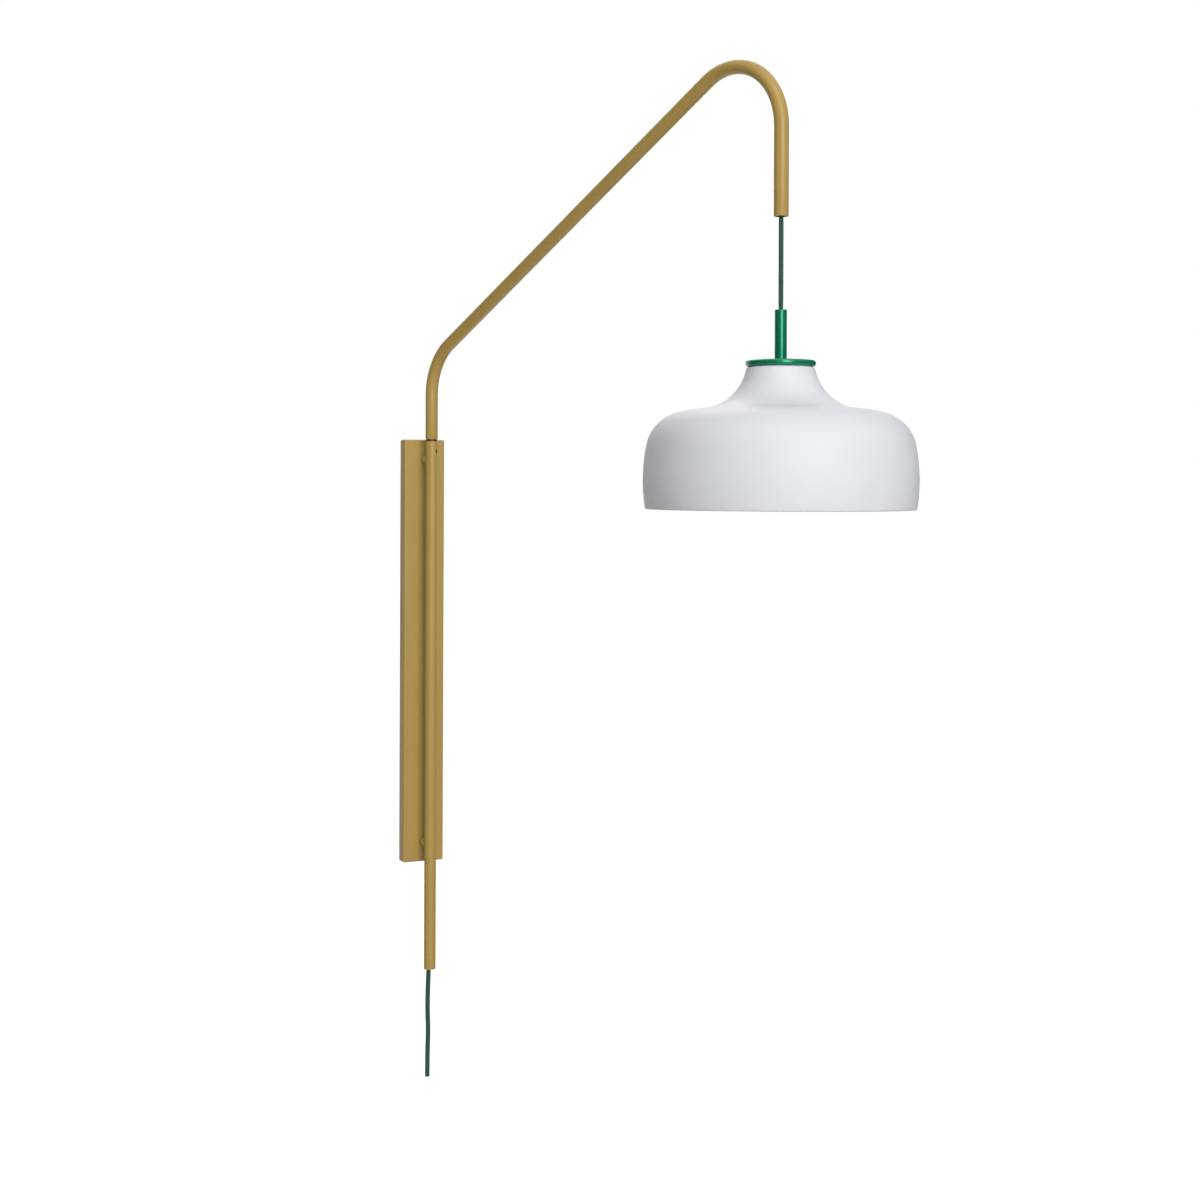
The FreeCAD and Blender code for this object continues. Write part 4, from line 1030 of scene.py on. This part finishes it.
class LAMP_OT_stem(bpy.types.Operator):
    """Turns the stem and the cap above the glass"""

    bl_idname = "wall_lamp.stem"
    bl_label = "Stem and cap"

    def execute(self, context):
        settings = context.scene.wall_lamp.shade
        bore = settings.stem_bore / MM / 2
        low, high = levels("stem_tube")
        outer = settings.stem_diameter / MM / 2
        stem = turned("stem_tube_turned", eased([(bore, low, 0.2), (outer, low, 0.25), (outer, high, 0.6),
                                                 (bore, high, 0.4)]), SHADE)
        finished(stem, "stem_tube", crease=50)

        low, high = levels("shade_cap")
        r = settings.cap_diameter / MM / 2
        ease = settings.cap_edge / MM
        recess = settings.cap_recess / MM / 2
        roof = low + settings.cap_recess_depth / MM
        cap = turned("shade_cap_turned", eased([
            (bore, roof, 0.1), (recess, roof, 0.2), (recess, low, 0.3), (r, low, ease), (r, high, ease),
            (bore, high, 0.2)], fineness=9), SHADE, sides=192)
        finished(cap, "shade_cap", crease=50)

        for node in ("stem_cord_grip", "stem_cable_stop", "threaded_nipple", "cap_gasket", "clamp_gasket",
                     "clamp_plate", "clamp_washer"):
            copied(node)
        self.nut()
        return {"FINISHED"}

    def nut(self):
        """Hexagon nut with chamfered corners and a clear bore."""
        low, high = levels("clamp_nut")
        bore, face, flats, chamfer = 5.05, 6.6, 7.0, 0.35       # millimetres; the first three are half widths
        outline = [(bore, low), (face, low), (flats, low + chamfer), (flats, high - chamfer), (face, high),
                   (bore, high)]
        nut = turned("clamp_nut_cut", outline, SHADE, sides=72, hexagons=(2, 3))
        finished(nut, "clamp_nut", crease=CREASE)


class LAMP_OT_glass(bpy.types.Operator):
    """Blows the opal glass shade"""

    bl_idname = "wall_lamp.glass"
    bl_label = "Glass shade"

    def execute(self, context):
        settings = context.scene.wall_lamp.shade
        wall = settings.wall / MM
        top = levels("glass_shade")[1]
        neck = settings.neck_diameter / MM / 2
        # The outer face from the neck down, as (radius, turn) in millimetres and degrees: the neck's edge,
        # the hollow below it, the slope and the shoulder. The side runs on to the rim in one long arc.
        arcs = ((wall + 1.0, -78.0), (56.6, 74.0), (150.0, -11.0), (48.0, -63.5))
        side = 206.0
        walls = []
        for inset in (0.0, wall):
            steps = [(radius + math.copysign(inset, turn), turn) for radius, turn in arcs]
            points, heading = trace((neck, top - inset), 0.0, steps, fineness=1.5)
            end = points[-1]
            if not walls:
                # The side ends where the glass has its height, which takes in the round of its rim.
                down = side * math.cos(math.radians(heading))
                left = settings.height / MM - (top - end.y) - down - wall / 2
                sweep = heading + 90 + math.degrees(math.asin(left / side))
            lower, _ = trace(end, heading, [(side - inset, -sweep)], fineness=0.8)
            walls.append(points + lower[1:])
        outer, inner = walls
        lip = self.half_round(outer[-1], inner[-1])
        hole = settings.hole_diameter / MM / 2
        flat = [Vector((hole, top - wall)), Vector((hole, top))]
        outline = outer + lip + inner[::-1] + flat
        glass = turned("glass_shade_blown", outline, SHADE, sides=256)
        finished(glass, "glass_shade", crease=40)
        return {"FINISHED"}

    def half_round(self, first, last):
        """Points of the fire-polished rim between the outer and the inner wall."""
        centre = (first + last) / 2
        spoke = first - centre
        steps = 10
        return [centre + Vector((spoke.x * math.cos(a) + spoke.y * math.sin(a),
                                 spoke.y * math.cos(a) - spoke.x * math.sin(a)))
                for a in (math.pi * k / steps for k in range(1, steps))]


class LAMP_OT_holder(bpy.types.Operator):
    """Dresses the lampholder, its contacts and its two wires"""

    bl_idname = "wall_lamp.holder"
    bl_label = "Lampholder"

    def execute(self, context):
        for node in ("lampholder_cap", "lampholder_body", "lampholder_insert", "centre_contact",
                     "bulb_insulator", "core_wires"):
            copied(node)
        return {"FINISHED"}


class LAMP_OT_bulb(bpy.types.Operator):
    """Makes the bulb, of glass and a screw cap with its rolled thread, and the sleeve that it sits in"""

    bl_idname = "wall_lamp.bulb"
    bl_label = "Bulb"

    def execute(self, context):
        self.globe()
        self.screw_cap()
        self.shell()
        return {"FINISHED"}

    def globe(self):
        """The bulb's glass: a ball, drawn out through a hollow flare to the screw cap."""
        top = levels("bulb_base")[0]
        neck, hollow, ball, wall = 13.0, 45.0, 30.0, 1.0        # radii and thickness in millimetres
        flare = math.degrees(math.acos((neck + hollow) / (hollow + ball)))
        walls = []
        for inset in (0.0, wall):
            arcs = [(hollow + inset, flare), (ball - inset, -90.0 - flare)]
            points, _ = trace((neck - inset, top), -90.0, arcs, fineness=3.0)
            points[-1].x = 0.0
            walls.append(points)
        globe = turned("bulb_globe_blown", walls[0] + walls[1][::-1], SHADE)
        finished(globe, "bulb_globe", crease=50)

    def screw_cap(self):
        """The bulb's cap, a drawn cup with a thread rolled into its wall."""
        low, high = levels("bulb_base")
        hollow, crest, rim, sheet = 11.9, 12.75, 12.4, 0.5      # radii and thickness in millimetres
        floor = high - sheet
        inner = [(hollow, floor - (floor - low) * k / 4) for k in range(5)]
        outer = [(crest, low + (high - low) * k / THREAD_ROWS) for k in range(THREAD_ROWS)]
        outline = [(0, floor)] + inner + outer + [(rim, high), (0, high)]
        base = turned("bulb_base_threaded", outline, SHADE, sides=120)

        # The thread takes in the outer wall alone, and fades out within a millimetre at both of its ends.
        first, last, fade = low + 4.0, high - 0.4, 1.0
        share = base.data.attributes.new("thread", "FLOAT", "POINT")
        for i, vertex in enumerate(base.data.vertices):
            r = math.hypot(vertex.co.x - SHADE.x, vertex.co.y - SHADE.y) / MM
            z = vertex.co.z / MM
            inside = min(max(min(z - first, last - z) / fade, 0.0), 1.0)
            share.data[i].value = inside if r > (rim + crest) / 2 else 0.0
        base = grown(base, thread_tree(), {"Axis": tuple(SHADE), "Pitch": 0.0036, "Depth": 0.0007,
                                           "Material": MADE[SLOT_OF["bulb_base"]]}, base.name)
        finished(base, "bulb_base", crease=40)

    def shell(self):
        """The lampholder's sleeve round the screw cap, with a smooth wall."""
        low, high = levels("lampholder_shell")
        rows = [low + (high - low) * k / THREAD_ROWS for k in range(THREAD_ROWS + 1)]
        outer = [(13.9, z) for z in rows]
        inner = [(13.4, z) for z in reversed(rows)]
        shell = turned("lampholder_shell_threaded", outer + inner, SHADE, sides=120)
        finished(shell, "lampholder_shell", crease=40)


class LAMP_PT_parts(bpy.types.Panel):
    """Lists the lamp's operators and settings"""

    bl_label = "Wall Lamp"
    bl_idname = "LAMP_PT_parts"
    bl_space_type = "VIEW_3D"
    bl_region_type = "UI"
    bl_category = "Wall Lamp"

    def draw(self, context):
        settings = context.scene.wall_lamp
        for operator in OPERATORS:
            self.layout.operator(operator.bl_idname)
        for group in (settings.paint, settings.arm, settings.cord, settings.shade, settings.stage):
            box = self.layout.box()
            for name in group.bl_rna.properties.keys():
                if name not in ("rna_type", "name"):
                    box.prop(group, name)


GROUPS = (PaintSettings, ArmSettings, CordSettings, ShadeSettings, StageSettings, LampSettings)
OPERATORS = (LAMP_OT_stage, LAMP_OT_finishes, LAMP_OT_cords, LAMP_OT_base, LAMP_OT_fasteners, LAMP_OT_arm,
             LAMP_OT_stem, LAMP_OT_glass, LAMP_OT_holder, LAMP_OT_bulb)


def register():
    for kind in GROUPS + OPERATORS + (LAMP_PT_parts,):
        bpy.utils.register_class(kind)
    bpy.types.Scene.wall_lamp = PointerProperty(type=LampSettings)


def unregister():
    del bpy.types.Scene.wall_lamp
    for kind in reversed(GROUPS + OPERATORS + (LAMP_PT_parts,)):
        bpy.utils.unregister_class(kind)


def main():
    register()
    bpy.ops.wall_lamp.stage()
    bpy.ops.wall_lamp.finishes()
    bpy.ops.wall_lamp.cords()
    bpy.ops.wall_lamp.base()
    bpy.ops.wall_lamp.fasteners()
    bpy.ops.wall_lamp.arm()
    bpy.ops.wall_lamp.stem()
    bpy.ops.wall_lamp.glass()
    bpy.ops.wall_lamp.holder()
    bpy.ops.wall_lamp.bulb()


if __name__ == "__main__":
    main()
